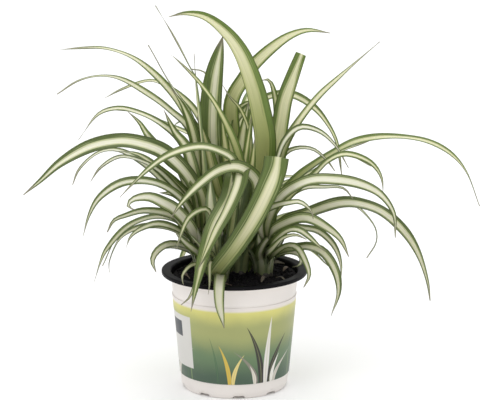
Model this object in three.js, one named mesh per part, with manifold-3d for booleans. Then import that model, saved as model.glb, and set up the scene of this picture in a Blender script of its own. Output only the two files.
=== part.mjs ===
// Potted spider plant: a young variegated plant of several rosettes in a 12 cm nursery pot.
// Millimetres, +Z up. The origin is the centre of the pot's foot, on the plane it stands on,
// and the plant's front faces -Y.
import * as THREE from 'three';
import { mergeVertices } from 'three/addons/utils/BufferGeometryUtils.js';
import Module from 'manifold-3d';

const wasm = await Module();
wasm.setup();

// Driving dimensions of the pot
const RIM_RADIUS = 60;
const RIM_HEIGHT = 99;
const RIM_LIP = 2.8;
const WALL_FOOT_RADIUS = 43.7;
const WALL_SLOPE = 0.0915;
const WALL = 1.2;
const FLOOR_HEIGHT = 4.8;
const FLOOR_TOP = 6.4;
const FOOT_INNER_RADIUS = 37;
const FOOT_LEAN = 1.5;
const FOOT_COUNT = 9;
const FOOT_NOTCH = { width: 9, height: 2.4, flare: 1.2, stretch: 1.1 };
const FOOT_TURN = THREE.MathUtils.degToRad(15);
const CENTRE_PAD = { radius: 9, slope: 4, bevel: 3, top: 1.8 };
const DRAIN = { count: 6, radius: 4, circle: 27, low: 1, high: 12, sides: 12 };
const POT_SIDES = 32;

// Corners of the pot's section: in from the wall and up at the foot, the flange under the lip,
// the bevels of the lip and the throat, and the bend where the wall meets the floor
const FOOT_CORNERS = [[2.6, 0], [0.9, 1], [0.1, 3]];
const FLANGE = { drop: 1.6, out: 1.2 };
const LIP_BEVEL = 1;
const THROAT_BEVEL = 1.5;
const FLOOR_BEND = { height: 12, inward: 2 };

// The printed sleeve wraps the wall between these heights
const SLEEVE = { low: 12.8, high: 79, thick: 0.6 };

// Touching pieces keep this gap
const GAP = 0.3;

// Edges shorter than this are closed up after pieces are joined or cut
const SHORTEST_EDGE = 0.04;

// The soil is a low mound a little under the rim
const SOIL_EDGE = 93.5;
const SOIL_MOUND = 2.5;
const SOIL_RINGS = 5;
const SOIL_SIDES = POT_SIDES;

// Lumps of the soil's top: waves round it, the change of radius to a wave, height and phase
const SOIL_LUMPS = [
  { round: 3, radius: 7, height: 0.55, phase: 0 },
  { round: 5, radius: -4, height: 0.385, phase: 0 },
  { round: 2, radius: 3, height: 0.33, phase: Math.PI / 2 },
];
const SOIL_SMOOTH_RADIUS = 8;

// Each crown is a stub that stands in a plain hole in the soil, with this play round it. Its
// profile is given in shares of its radius and height.
const CROWN = { radius: 8.5, root: 24, above: 12, sides: 14, lift: 9 };
const CROWN_PLAY = 0.4;
const CROWN_PROFILE = [[0.5, 0], [0.9, 0.22], [1, 0.69], [0.86, 0.86], [0.5, 0.967]];
const CROWNS = {
  left: [-25, -3],
  front: [-12, -26],
  right: [24, -6],
  middle: [4, 2],
  back: [-4, 27],
};

// Leaves follow each other round a crown by this angle. They start this far out in it, in shares
// of its radius, and this far above the soil's edge, each a little higher than the last in
// cycles, then lean and climb towards their paths.
const GOLDEN_ANGLE = THREE.MathUtils.degToRad(137.5);
const LEAF_FOOT = { out: 0.3, above: 4.5, rise: 0.7, cycle: 4, lean: 0.4, climb: 0.45 };

// A leaf blade is widest a third of the way up. Wide blades are a shallow channel with two
// faces, and narrow ones a plain strip.
const BLADE = {
  thick: 0.9,
  fold: 0.17,
  channelFrom: 12.5,
  step: 55,
  bend: THREE.MathUtils.degToRad(24),
  tries: 6,
  tip: 1.3,
  foot: 0.7,
  widest: 0.3,
  taper: 3,
};

// Leaves are listed as seen from the front: across and up in the plane of sight through the
// origin, with the true depth. The eye is this far off and looks down by this much.
const SIGHT = { distance: 2100, down: THREE.MathUtils.degToRad(13), across: 12.9, up: 152.9 };

function pointInSight([across, up, depth]) {
  const sine = Math.sin(SIGHT.down);
  const cosine = Math.cos(SIGHT.down);
  const rise = up - SIGHT.up;
  const away = (depth - up * sine) / (cosine + (rise * sine) / SIGHT.distance);
  const spread = 1 + away / SIGHT.distance;
  const height = SIGHT.up + rise * spread;
  return new THREE.Vector3(
    SIGHT.across + (across - SIGHT.across) * spread,
    depth,
    height * cosine - away * sine,
  );
}

// Leaves: width, turn of the face to the front at the foot and at the tip in degrees, and the
// midrib from above the crown to the tip. A leaf that has been cut off keeps that share of its
// width at the cut. A leaf may also be widest at its own share of its length, or have its own
// taper and so narrow sooner or later than the rest.
const LEAVES = {
  left: [
    { width: 5, turn: [10, 10], path: [[-29, 199, 10], [-37, 224, 11], [-54, 250, 12], [-72, 282, 14]] },
    { width: 10, turn: [40, 30], taper: 1.8, path: [[-37, 209, 14], [-54, 227, 18], [-71, 240, 20],
      [-96, 254, 22], [-113, 256, 23], [-130, 252, 23], [-148, 241, 22]] },
    { width: 9.5, turn: [55, 35], taper: 2, path: [[-34, 165, -4], [-45, 201, -8], [-62, 216.5, -12],
      [-79, 225, -14], [-97, 229, -15], [-113, 224.5, -15], [-130, 203, -14]] },
    { width: 11, turn: [60, 75], path: [[-29, 161, -18], [-58, 189, -26], [-74, 209, -29], [-79, 217, -30],
      [-90, 227.5, -30]] },
    { width: 15, turn: [50, 68], path: [[-33, 161, -20], [-58, 191, -30], [-79, 199.5, -36],
      [-96, 201.7, -40], [-120, 197, -44], [-145, 183.5, -47], [-162, 168.5, -48], [-176, 157, -48]] },
    { width: 8, turn: [20, 35], path: [[-39, 146, 6], [-62, 170, 10], [-79, 185, 12], [-97, 194, 14],
      [-112.5, 192.3, 15], [-129.5, 178, 15], [-135, 165.5, 15]] },
    { width: 11, turn: [40, 45], path: [[-36, 150, 0], [-50, 166, -2], [-58, 173, -3], [-66, 180, -4],
      [-74, 187, -4], [-83, 191.5, -4], [-97, 193.5, -4]] },
    { width: 7, turn: [30, 40], path: [[-36, 145, -9], [-54, 168, -13], [-64, 177.5, -15], [-75, 184, -17],
      [-95, 188.7, -20], [-112, 179.3, -21], [-120, 168.3, -21]] },
    { width: 10, turn: [35, 50], path: [[-36, 140, -22], [-50, 158, -30], [-70, 167.5, -37],
      [-94, 166.5, -41], [-112.5, 154.5, -43], [-121, 140, -43], [-126, 123, -43]] },
    { width: 12, turn: [60, 75], path: [[-36, 128, -28], [-50, 144.5, -38], [-58, 149.5, -43],
      [-72, 155.3, -47], [-86, 152.5, -50], [-88.5, 147.5, -52], [-82, 144.5, -55]] },
    { width: 9, turn: [40, 50], path: [[-36, 125, -14], [-50, 138.5, -20], [-75, 143.5, -26],
      [-91, 139.5, -28], [-100.5, 135.5, -29], [-106, 126, -29]] },
    { width: 8, turn: [30, 40], path: [[-41, 131, 2], [-62, 138.7, 3], [-87, 131.3, 3], [-106.7, 111, 2],
      [-111.5, 101, 2], [-117, 84.5, 1]] },
    { width: 8, turn: [20, 30], path: [[-40, 121, 10], [-58, 129.5, 15], [-80, 129.3, 19], [-95, 120.5, 20],
      [-104.5, 100, 20], [-104, 92.5, 20]] },
    { width: 8, turn: [35, 45], path: [[-38, 121, -22], [-54, 130.5, -33], [-66, 132.5, -38],
      [-80, 127.5, -41], [-87, 121.5, -42], [-90.5, 112, -42]] },
    { width: 9, turn: [20, 40], path: [[-36, 111, -9], [-50, 115.7, -12], [-59, 113.7, -13],
      [-66, 107.5, -14], [-68, 101.5, -14], [-65.3, 92.5, -13]] },
    { width: 8, turn: [30, 30], path: [[-34, 108, 3], [-44, 112.3, 5], [-55, 113.3, 6], [-67, 109, 7]] },
    { width: 12, turn: [65, 80], path: [[-30, 150, -11], [-41, 198, -15], [-50, 210, -16],
      [-59, 228, -17]] },
    { width: 12.4, turn: [50, 65], path: [[-30, 160, 0], [-34, 205, 3], [-43.5, 232, 4], [-53, 246, 5]] },
    { width: 9, turn: [10, 10], taper: 1.4, path: [[-25, 150, -9], [-27, 195, -12], [-30, 228, -13],
      [-32.5, 253, -13], [-33.7, 275, -13]] },
    { width: 8, turn: [60, 80], path: [[-31, 118, -17], [-42, 129, -24], [-52, 140, -28]] },
    { width: 8, turn: [60, 80], path: [[-30, 108, -26], [-41, 117, -36], [-50, 127, -42]] },
    { width: 11, turn: [30, 50], path: [[-30, 130, 3], [-40, 149, 6], [-50, 157, 8], [-63, 159, 9]] },
    { width: 10, turn: [60, 80], path: [[-27, 125, -12], [-37, 142, -15], [-47, 159, -17]] },
    { width: 7, turn: [20, 30], path: [[-36, 122, 14], [-50, 137, 22], [-66, 141, 27], [-80, 138, 30]] },
    { width: 8, turn: [20, 40], path: [[-34, 140, 6], [-45, 174, 10], [-55, 192, 12], [-62, 199, 13]] },
  ],
  front: [
    { width: 12, turn: [75, 75], path: [[17, 140, -38], [19.6, 160, -42], [16, 172, -48], [3, 180.5, -54],
      [-12, 178, -60], [-29, 166, -65], [-45, 149.5, -68], [-53.5, 137, -69]] },
    { width: 20, turn: [90, 90], cut: 1, widest: 1, path: [[-17, 92, -43], [-10, 101, -46],
      [-4, 108.5, -49], [4, 119.6, -52], [14, 135.4, -56], [22.4, 151.3, -59], [30, 168, -61],
      [33.5, 179, -61], [35, 189, -61]] },
    { width: 15, turn: [10, 10], path: [[1, 150, -33], [0, 173, -43], [-4, 156, -53], [-16.6, 133, -62],
      [-23.5, 112, -68], [-31, 84, -70], [-36.2, 60, -67]] },
    { width: 13, turn: [0, 0], path: [[5, 152, -37], [7, 178, -50], [4.6, 165, -60], [-6, 141, -71],
      [-14, 127, -76], [-21, 113, -79], [-31, 94, -80]] },
    { width: 13, turn: [0, 10], path: [[-18, 128, -34], [-20, 150, -40], [-20, 171, -44]] },
    { width: 9.5, turn: [0, 0], path: [[-11, 90.5, -44], [-12, 88, -56], [-12.5, 84, -64], [-13, 76, -69.5],
      [-12.5, 65, -71], [-10.5, 55, -69], [-8.6, 46, -67]] },
    { width: 4, turn: [0, 0], path: [[-18, 101, -42], [-20.5, 99, -56], [-20.8, 82, -64.5],
      [-22, 74, -66]] },
    { width: 4.5, turn: [60, 40], path: [[-19, 108, -38], [-26, 102, -56], [-33, 82, -66], [-38, 71, -68],
      [-44.6, 65.4, -68]] },
    { width: 6, turn: [60, 60], path: [[-18, 132, -38], [-24, 145, -48], [-36, 140, -54], [-41, 133, -56],
      [-46, 120, -57], [-49, 111, -57]] },
    { width: 4.5, turn: [60, 40], path: [[-23, 98, -32], [-34, 99, -38], [-40, 95, -46], [-43.5, 89, -52],
      [-42.5, 82, -56]] },
    { width: 9, turn: [60, 60], path: [[0, 150, -38], [-1, 185, -52], [-12, 193, -62], [-29, 197, -70],
      [-54, 190.5, -78], [-70, 180, -83], [-87, 164, -86], [-95.5, 155, -87]] },
    { width: 9, turn: [50, 60], path: [[4, 120, -34], [12, 132, -36], [18, 140, -37]] },
  ],
  right: [
    { width: 9, turn: [10, 30], path: [[31, 150, 8], [34, 207, 16], [34.6, 232, 16], [28, 253, 14],
      [16, 249.5, 12]] },
    { width: 15, turn: [75, 80], cut: 0.6, path: [[29.5, 150, 1], [36.5, 203, 5], [39, 220, 6],
      [42, 236, 7], [50.5, 261, 8], [55.7, 274.8, 8]] },
    { width: 10, turn: [70, 60], taper: 1.5, path: [[33, 150, -18], [41, 195, -25], [53, 217, -26],
      [70.5, 239.5, -26], [88, 255.8, -26], [105, 271, -25], [121, 284.8, -24]] },
    { width: 7, turn: [50, 60], path: [[33, 170, -24], [42, 202, -30], [55, 213.3, -33], [71, 209.8, -35],
      [84.3, 197.8, -36], [95, 179.7, -37]] },
    { width: 7, turn: [40, 50], path: [[30, 161, -16], [45, 193, -22], [64, 195.5, -24], [78, 184.7, -25],
      [83.5, 177, -25]] },
    { width: 9, turn: [20, 35], path: [[34, 148, 6], [50, 169, 8], [67, 182.3, 9], [84, 192.9, 10],
      [100, 200.8, 11], [121, 204.8, 12], [145, 204.4, 13], [163, 200.5, 13], [180, 191, 13],
      [193, 176, 13], [204.3, 147.7, 13]] },
    { width: 8, turn: [40, 50], path: [[34, 140, -26], [50, 159, -36], [67, 174, -42], [80, 186.5, -45],
      [92.5, 191, -46], [113, 184, -47], [122, 172, -47], [124, 154.5, -47]] },
    { width: 11, turn: [50, 65], path: [[30, 138, -35], [40, 156, -45], [63, 168.7, -54], [84, 169.4, -57],
      [105, 165.6, -59], [121, 157.7, -60], [132.5, 141.7, -60], [134, 121.5, -59]] },
    { width: 7, turn: [40, 50], path: [[36, 145, -16], [56, 162, -20], [75, 163.5, -22], [91, 162.5, -23],
      [98.5, 154, -23]] },
    { width: 12, turn: [40, 50], path: [[36, 129, -8], [46, 137, -12], [60, 141, -15], [75, 146.3, -18],
      [88, 149.7, -19], [100, 149.8, -20], [121, 143.5, -21], [140, 127.5, -22], [152, 109, -22],
      [160.5, 85, -21], [163, 69, -20]] },
    { width: 7, turn: [25, 20], path: [[38, 126, 2], [63, 142, 6], [88, 149, 8], [100, 147.7, 9],
      [117, 129.8, 9], [118, 118, 9], [110, 104.5, 8]] },
    { width: 11, turn: [50, 60], path: [[30, 125, -30], [42, 133, -38], [59, 137.5, -44], [75, 130.8, -48],
      [88, 120.3, -50], [95.2, 105.5, -50]] },
    { width: 8, turn: [35, 40], path: [[36, 118, -6], [46, 129, -8], [59, 129, -10], [70, 126.3, -11],
      [82, 115, -11], [88, 100, -11], [88.5, 81, -11]] },
    { width: 9, turn: [50, 50], path: [[34, 118, -38], [46, 127.5, -50], [54, 127.5, -55], [62, 122, -58],
      [69, 115.7, -59], [75.5, 110, -60]] },
    { width: 8, turn: [50, 50], path: [[32, 112, -42], [42, 121.5, -55], [52, 123.5, -61],
      [60, 120, -63]] },
    { width: 10, turn: [40, 40], path: [[36, 109, -16], [54, 113, -24], [62, 113.5, -26], [73, 109, -28],
      [83, 94.5, -29], [86.3, 77, -29], [80.4, 56, -28]] },
    { width: 7, turn: [50, 50], path: [[34, 108, -24], [44.5, 114.5, -32], [51.5, 113.5, -35],
      [58.5, 102.5, -37], [62, 90, -37], [57.5, 80, -37]] },
    { width: 8, turn: [20, 60], path: [[34, 106, -1], [46, 110, -2], [55, 106, -4], [54, 99, -7],
      [48, 97, -9]] },
    { width: 8, turn: [60, 60], path: [[23, 140, -36], [34, 147.5, -50], [46, 150.5, -60], [55, 151, -65],
      [64, 143.5, -69], [65.5, 137, -70]] },
    { width: 10, turn: [60, 70], path: [[30, 112, -12], [40, 124, -17], [47, 128, -20]] },
    { width: 8, turn: [60, 60], path: [[22, 110, -22], [30, 122, -30], [38, 126, -35]] },
    { width: 10, turn: [70, 80], path: [[26, 130, -12], [32, 158, -14], [36, 180, -15]] },
    { width: 10, turn: [25, 30], path: [[34, 120, 10], [50, 138, 20], [68, 145, 28], [84, 145, 32]] },
    { width: 8, turn: [20, 30], path: [[32, 140, 12], [46, 164, 22], [62, 172, 28], [80, 168, 32]] },
  ],
  middle: [
    { width: 18, turn: [85, 85], taper: 2.5, path: [[16, 140, -4], [24, 180, -10], [25.4, 203, -14],
      [23, 220, -17], [16.3, 248, -21], [5, 276.5, -24], [-8, 293.7, -26], [-25, 306, -27],
      [-41, 308.5, -27], [-55, 305.5, -27]] },
    { width: 10, turn: [55, 60], taper: 1.6, path: [[7, 165, -18], [2, 193, -22], [-13.5, 228, -25],
      [-28.5, 249.5, -26], [-44.5, 266.5, -26], [-55, 276, -26]] },
    { width: 6, turn: [50, 60], path: [[9, 170, 1], [13, 203, 0], [5, 228, -2], [-4, 239, -4],
      [-10, 249, -5]] },
    { width: 8, turn: [60, 80], path: [[4, 150, -9], [8, 180, -13], [12, 207, -15], [14.6, 225, -16]] },
    { width: 10, turn: [60, 80], path: [[9, 149, -16], [14.6, 180, -28], [17, 205, -32]] },
    { width: 11, turn: [60, 70], path: [[-2, 150, -8], [-6, 180, -12], [-9, 205, -14], [-11, 226, -14]] },
    { width: 9, turn: [60, 70], path: [[8, 150, 6], [11, 190, 8], [14, 222, 8], [17, 240, 7]] },
    { width: 10, turn: [70, 80], path: [[-6, 130, -12], [-14, 150, -18], [-22, 166, -22]] },
    { width: 13, turn: [50, 70], path: [[-8, 140, -3], [-18, 176, -5], [-25, 205, -6], [-31, 224, -6]] },
    { width: 12, turn: [60, 80], path: [[1, 150, -4], [-2, 190, -4], [-6, 214, -4]] },
    { width: 11, turn: [70, 80], path: [[2, 128, -14], [0, 150, -20], [-3, 170, -24]] },
    { width: 11, turn: [70, 80], path: [[10, 128, -9], [18, 150, -14], [25, 168, -17]] },
  ],
  back: [
    { width: 6, turn: [12, 12], taper: 1.5, path: [[-14, 195, 24], [-29, 249, 26], [-37, 263, 27],
      [-54, 295, 28], [-66, 315, 28]] },
    { width: 12.4, turn: [50, 35], taper: 1.3, path: [[-22, 186, 30], [-49, 236.5, 34], [-70.5, 260.5, 36],
      [-87, 272.3, 37], [-108, 279, 38], [-125, 279.5, 38], [-149, 278, 37]] },
    { width: 8, turn: [25, 30], path: [[-20, 195, 38], [-33, 226, 44], [-43, 237.5, 46], [-56, 247, 48],
      [-70, 252, 50], [-95, 244.5, 51], [-108, 238, 51]] },
    { width: 14, turn: [60, 80], path: [[0, 195, 22], [-1.5, 235, 20], [8, 253.5, 18], [16, 264.7, 17],
      [31, 279, 16], [46.5, 289.7, 16], [61, 294.3, 16], [80, 292, 16]] },
    { width: 18.5, turn: [85, 85], taper: 6, path: [[-14, 153, 17], [-20, 203, 12], [-19.5, 236, 11],
      [-16.3, 261, 11], [-9.8, 289.5, 11]] },
    { width: 6, turn: [20, 30], path: [[-15, 200, 28], [-19, 240, 32], [-25, 259, 33], [-37, 262, 33]] },
    { width: 10, turn: [35, 45], path: [[-6, 195, 26], [5, 223, 28], [30, 239, 29], [48, 240, 28],
      [65, 230.3, 26], [76, 217.8, 24], [84.7, 201.5, 22], [89.3, 173.5, 19]] },
    { width: 9, turn: [60, 70], path: [[-6, 190, 20], [-3, 221, 22], [9, 233, 22], [15, 234.5, 22],
      [24, 229, 22]] },
    { width: 10, turn: [0, 0], path: [[-12, 150, 42], [-22, 192, 60], [-34, 214, 80], [-44, 218, 98],
      [-52, 214, 112]] },
    { width: 7, turn: [0, 0], path: [[-14, 130, 44], [-36, 158, 66], [-66, 168, 88], [-95, 167.5, 102],
      [-112, 156, 108]] },
    { width: 10, turn: [0, 0], path: [[-8, 150, 44], [-10, 196, 70], [-14, 216, 100], [-18, 200, 130],
      [-22, 164, 148]] },
    { width: 11, turn: [0, 0], path: [[0, 160, 42], [6, 214, 62], [14, 240, 86], [24, 238, 116],
      [32, 208, 140]] },
    { width: 9, turn: [0, 0], path: [[4, 135, 44], [16, 160, 68], [32, 170, 92], [52, 172, 116],
      [72, 170, 132]] },
    { width: 8, turn: [0, 0], path: [[8, 140, 40], [34, 162, 54], [64, 175.5, 70], [92, 190, 84],
      [114, 181, 92]] },
    { width: 7, turn: [0, 0], path: [[10, 125, 40], [38, 138, 56], [72, 146, 72], [104, 149.5, 82],
      [130, 136, 86]] },
    { width: 8, turn: [0, 0], path: [[-14, 140, 36], [-40, 180, 46], [-70, 197, 58], [-98, 202, 66],
      [-128, 193, 73]] },
    { width: 8, turn: [0, 0], path: [[-14, 118, 38], [-40, 136.5, 52], [-70, 139.5, 68], [-96, 124, 78],
      [-110, 98, 82]] },
    { width: 9, turn: [0, 0], path: [[-6, 122, 46], [-16, 142, 74], [-26, 140, 102], [-34, 114, 122]] },
    { width: 9, turn: [0, 0], path: [[2, 120, 46], [10, 140, 76], [18, 138, 106], [24, 110, 128]] },
    { width: 7, turn: [0, 0], path: [[8, 116, 42], [34, 133, 62], [60, 137, 82], [76, 130.5, 94]] },
    { width: 11, turn: [10, 10], path: [[-4, 165, 38], [-6, 196, 50], [-6, 214, 64], [-2, 220, 82],
      [4, 214, 100]] },
    { width: 8, turn: [0, 0], path: [[-10, 165, 36], [-28, 200, 50], [-54, 215, 66], [-80, 225.5, 78],
      [-100, 228, 84]] },
    { width: 9, turn: [0, 0], path: [[6, 150, 34], [28, 156, 44], [52, 170, 54], [82, 190, 64],
      [112, 202, 70]] },
    { width: 8, turn: [0, 0], path: [[-12, 112, 46], [-26, 120, 62], [-40, 112, 76], [-48, 92, 84]] },
    { width: 8, turn: [0, 0], path: [[6, 110, 48], [22, 118, 66], [38, 108, 80], [46, 88, 88]] },
    { width: 9, turn: [0, 0], path: [[12, 108, 36], [34, 112, 44], [60, 112, 52], [78, 98, 56]] },
    { width: 12, turn: [60, 80], path: [[-12, 150, 21], [-22, 192, 18], [-31, 222, 18]] },
    { width: 12, turn: [80, 80], path: [[0, 150, 20], [6, 200, 17], [12, 236, 16]] },
    { width: 12, turn: [80, 80], path: [[-7, 140, 20], [-11, 180, 16], [-14, 212, 15]] },
    { width: 12, turn: [60, 60], path: [[8, 140, 22], [20, 176, 22], [32, 204, 23], [42, 222, 24]] },
    { width: 12, turn: [40, 60], path: [[-16, 140, 22], [-34, 172, 22], [-52, 190, 24], [-66, 192, 26]] },
  ],
};

const MATERIALS = {
  pot: { color: 0xe9e6e6, roughness: 0.45, metalness: 0 },
  sleeve: { color: 0x93a678, roughness: 0.5, metalness: 0 },
  soil: { color: 0x1d1815, roughness: 1, metalness: 0 },
  leaf: { color: 0x8c9c5e, roughness: 0.5, metalness: 0 },
};

function materialOf(kind) {
  return new THREE.MeshStandardMaterial(MATERIALS[kind]);
}

// Solids

function solidOf(geometry) {
  const bare = geometry.clone();
  for (const name of ['normal', 'uv']) {
    bare.deleteAttribute(name);
  }
  const merged = mergeVertices(bare, 1e-4);
  return new wasm.Manifold(new wasm.Mesh({
    numProp: 3,
    vertProperties: new Float32Array(merged.attributes.position.array),
    triVerts: new Uint32Array(merged.index.array),
  }));
}

function geometryOf(solid) {
  const mesh = solid.getMesh();
  const geometry = new THREE.BufferGeometry();
  geometry.setAttribute('position', new THREE.Float32BufferAttribute(mesh.vertProperties, 3));
  geometry.setIndex(new THREE.Uint32BufferAttribute(mesh.triVerts, 1));
  return geometry;
}

function geometryFrom(points, triangles) {
  const geometry = new THREE.BufferGeometry();
  const numbers = points.flatMap((point) => point.toArray());
  geometry.setAttribute('position', new THREE.Float32BufferAttribute(numbers, 3));
  geometry.setIndex(triangles);
  return geometry;
}

// A profile of [radius, height] points turned about Z. It runs round its section anticlockwise.
function turned(profile, sides) {
  const line = profile.map(([radius, height]) => new THREE.Vector2(radius, height));
  return new THREE.LatheGeometry(line, sides).rotateX(Math.PI / 2);
}

function peg(radius, low, high, sides, [x, y]) {
  const height = high - low;
  return new THREE.CylinderGeometry(radius, radius, height, sides)
    .rotateX(Math.PI / 2)
    .translate(x, y, low + height / 2);
}

// Pot

function wallRadius(height) {
  return WALL_FOOT_RADIUS + WALL_SLOPE * height;
}

function potProfile() {
  const lipFoot = RIM_HEIGHT - RIM_LIP;
  const neck = lipFoot - FLANGE.drop;
  const bend = FLOOR_BEND.height;
  return [
    [0, 0],
    [CENTRE_PAD.radius, 0],
    [CENTRE_PAD.radius + CENTRE_PAD.slope, FLOOR_HEIGHT],
    [FOOT_INNER_RADIUS - FOOT_LEAN, FLOOR_HEIGHT],
    [FOOT_INNER_RADIUS, 0],
    ...FOOT_CORNERS.map(([inward, height]) => [wallRadius(height) - inward, height]),
    [wallRadius(bend), bend],
    [wallRadius(neck), neck],
    [wallRadius(neck) + FLANGE.out, neck + FLANGE.out],
    [RIM_RADIUS - LIP_BEVEL, lipFoot - LIP_BEVEL / 2],
    [RIM_RADIUS, lipFoot + LIP_BEVEL / 4],
    [RIM_RADIUS, RIM_HEIGHT - LIP_BEVEL],
    [RIM_RADIUS - LIP_BEVEL, RIM_HEIGHT],
    [wallRadius(RIM_HEIGHT) + THROAT_BEVEL, RIM_HEIGHT],
    [wallRadius(RIM_HEIGHT) - WALL / 2, RIM_HEIGHT - THROAT_BEVEL],
    [wallRadius(neck) - WALL, neck],
    [wallRadius(bend) - WALL, bend],
    [wallRadius(FLOOR_TOP) - WALL - FLOOR_BEND.inward, FLOOR_TOP],
    [CENTRE_PAD.radius, FLOOR_TOP],
    [CENTRE_PAD.radius - CENTRE_PAD.bevel, CENTRE_PAD.top],
    [0, CENTRE_PAD.top],
  ];
}

// A block with sloped sides that cuts the notch between two feet
function notchCutter(foot) {
  const { width, height, flare, stretch } = FOOT_NOTCH;
  return new THREE.CylinderGeometry(width / 2, width / 2 + flare, 2 * height, 4)
    .rotateY(Math.PI / 4)
    .rotateX(Math.PI / 2)
    .scale(stretch, 1, 1)
    .translate(WALL_FOOT_RADIUS, 0, 0)
    .rotateZ(((foot + 0.5) * 2 * Math.PI) / FOOT_COUNT + FOOT_TURN);
}

function makePot() {
  let pot = solidOf(turned(potProfile(), POT_SIDES));
  for (let foot = 0; foot < FOOT_COUNT; foot += 1) {
    pot = pot.subtract(solidOf(notchCutter(foot)));
  }
  for (let hole = 0; hole < DRAIN.count; hole += 1) {
    const angle = (hole * 2 * Math.PI) / DRAIN.count;
    const centre = [DRAIN.circle * Math.cos(angle), DRAIN.circle * Math.sin(angle)];
    pot = pot.subtract(solidOf(peg(DRAIN.radius, DRAIN.low, DRAIN.high, DRAIN.sides, centre)));
  }
  return geometryOf(oneBody(pot));
}

function makeSleeve() {
  const { low, high, thick } = SLEEVE;
  return turned([
    [wallRadius(low) + GAP, low],
    [wallRadius(low) + GAP + thick, low],
    [wallRadius(high) + GAP + thick, high],
    [wallRadius(high) + GAP, high],
    [wallRadius(low) + GAP, low],
  ], POT_SIDES);
}

// Soil

// Height of the soil's lumpy top at a radius and an angle
function soilTop(radius, angle) {
  const inward = 1 - radius / (wallRadius(SOIL_EDGE) - WALL);
  let lumps = 0;
  for (const lump of SOIL_LUMPS) {
    lumps += lump.height * Math.sin(lump.round * angle + radius / lump.radius + lump.phase);
  }
  return SOIL_EDGE + SOIL_MOUND * inward + lumps * Math.min(1, radius / SOIL_SMOOTH_RADIUS);
}

function soilSurface() {
  const edge = wallRadius(SOIL_EDGE) - WALL - GAP;
  const floor = FLOOR_TOP + GAP;
  const bend = FLOOR_BEND.height;
  const points = [new THREE.Vector3(0, 0, soilTop(0, 0)), new THREE.Vector3(0, 0, floor)];
  const triangles = [];
  const ringStart = (ring) => 2 + ring * SOIL_SIDES;
  const addRing = (radius, heightAt) => {
    for (let side = 0; side < SOIL_SIDES; side += 1) {
      const angle = (side * 2 * Math.PI) / SOIL_SIDES;
      points.push(new THREE.Vector3(radius * Math.cos(angle), radius * Math.sin(angle), heightAt(angle)));
    }
  };
  for (let ring = 1; ring <= SOIL_RINGS; ring += 1) {
    const radius = (edge * ring) / SOIL_RINGS;
    addRing(radius, (angle) => soilTop(radius, angle));
  }
  addRing(wallRadius(bend) - WALL - GAP, () => bend + GAP);
  addRing(wallRadius(FLOOR_TOP) - WALL - FLOOR_BEND.inward - GAP, () => floor);
  for (let side = 0; side < SOIL_SIDES; side += 1) {
    const next = (side + 1) % SOIL_SIDES;
    triangles.push(0, ringStart(0) + side, ringStart(0) + next);
    for (let ring = 0; ring < SOIL_RINGS + 1; ring += 1) {
      const a = ringStart(ring) + side;
      const b = ringStart(ring) + next;
      const c = ringStart(ring + 1) + next;
      const d = ringStart(ring + 1) + side;
      triangles.push(a, d, c, a, c, b);
    }
    triangles.push(1, ringStart(SOIL_RINGS + 1) + next, ringStart(SOIL_RINGS + 1) + side);
  }
  return geometryFrom(points, triangles);
}

function crownRoot() {
  return SOIL_EDGE - CROWN.root;
}

function makeSoil() {
  let soil = solidOf(soilSurface());
  for (const place of Object.values(CROWNS)) {
    const radius = CROWN.radius + CROWN_PLAY;
    const hole = peg(radius, crownRoot() - GAP, SOIL_EDGE + CROWN.above, CROWN.sides, place);
    soil = soil.subtract(solidOf(hole));
  }
  return geometryOf(oneBody(soil));
}

// Plant

// The stub from which a rosette's leaves rise, narrower at its root and its top
function crownSolid([x, y]) {
  const low = crownRoot();
  const height = CROWN.root + CROWN.above;
  const outline = CROWN_PROFILE.map(([out, up]) => [out * CROWN.radius, low + up * height]);
  const crown = turned([[0, low], ...outline, [0, low + height]], CROWN.sides);
  return solidOf(crown.translate(x, y, 0));
}

// A leaf's midrib rises from its own place in the crown, a golden angle on from the leaf before
function midrib(place, leaf, order) {
  const seen = leaf.path.map(pointInSight);
  const angle = order * GOLDEN_ANGLE;
  const reach = CROWN.radius * LEAF_FOOT.out;
  const foot = new THREE.Vector3(
    place[0] + reach * Math.cos(angle),
    place[1] + reach * Math.sin(angle),
    SOIL_EDGE + LEAF_FOOT.above + LEAF_FOOT.rise * (order % LEAF_FOOT.cycle),
  );
  const aim = seen[0].clone().sub(foot).setZ(0).normalize();
  const lift = foot.clone().addScaledVector(aim, CROWN.radius * LEAF_FOOT.lean);
  lift.z += Math.min(CROWN.lift, LEAF_FOOT.climb * (seen[0].z - foot.z));
  return new THREE.CatmullRomCurve3([foot, lift, ...seen], false, 'centripetal');
}

// Places along a midrib where its blade has a section: wherever it has bent or run far enough
function ribPlaces(rib) {
  const tries = (rib.points.length - 1) * BLADE.tries;
  const places = [0];
  let lastPoint = rib.getPoint(0);
  let lastTangent = rib.getTangent(0);
  for (let index = 1; index < tries; index += 1) {
    const at = index / tries;
    const point = rib.getPoint(at);
    const tangent = rib.getTangent(at);
    if (tangent.angleTo(lastTangent) > BLADE.bend || point.distanceTo(lastPoint) > BLADE.step) {
      places.push(at);
      lastPoint = point;
      lastTangent = tangent;
    }
  }
  return [...places, 1];
}

function runningLengths(points) {
  const lengths = [0];
  for (let index = 1; index < points.length; index += 1) {
    lengths.push(lengths[index - 1] + points[index].distanceTo(points[index - 1]));
  }
  return lengths;
}

// Share of a leaf's full width at a share of its length. A cut leaf ends at its cut's own share.
function widthShare(share, { cut = 0, widest = BLADE.widest, taper = BLADE.taper }) {
  if (share <= widest) {
    return BLADE.foot + ((1 - BLADE.foot) * share) / widest;
  }
  return 1 - (1 - cut) * ((share - widest) / (1 - widest)) ** taper;
}

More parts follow.
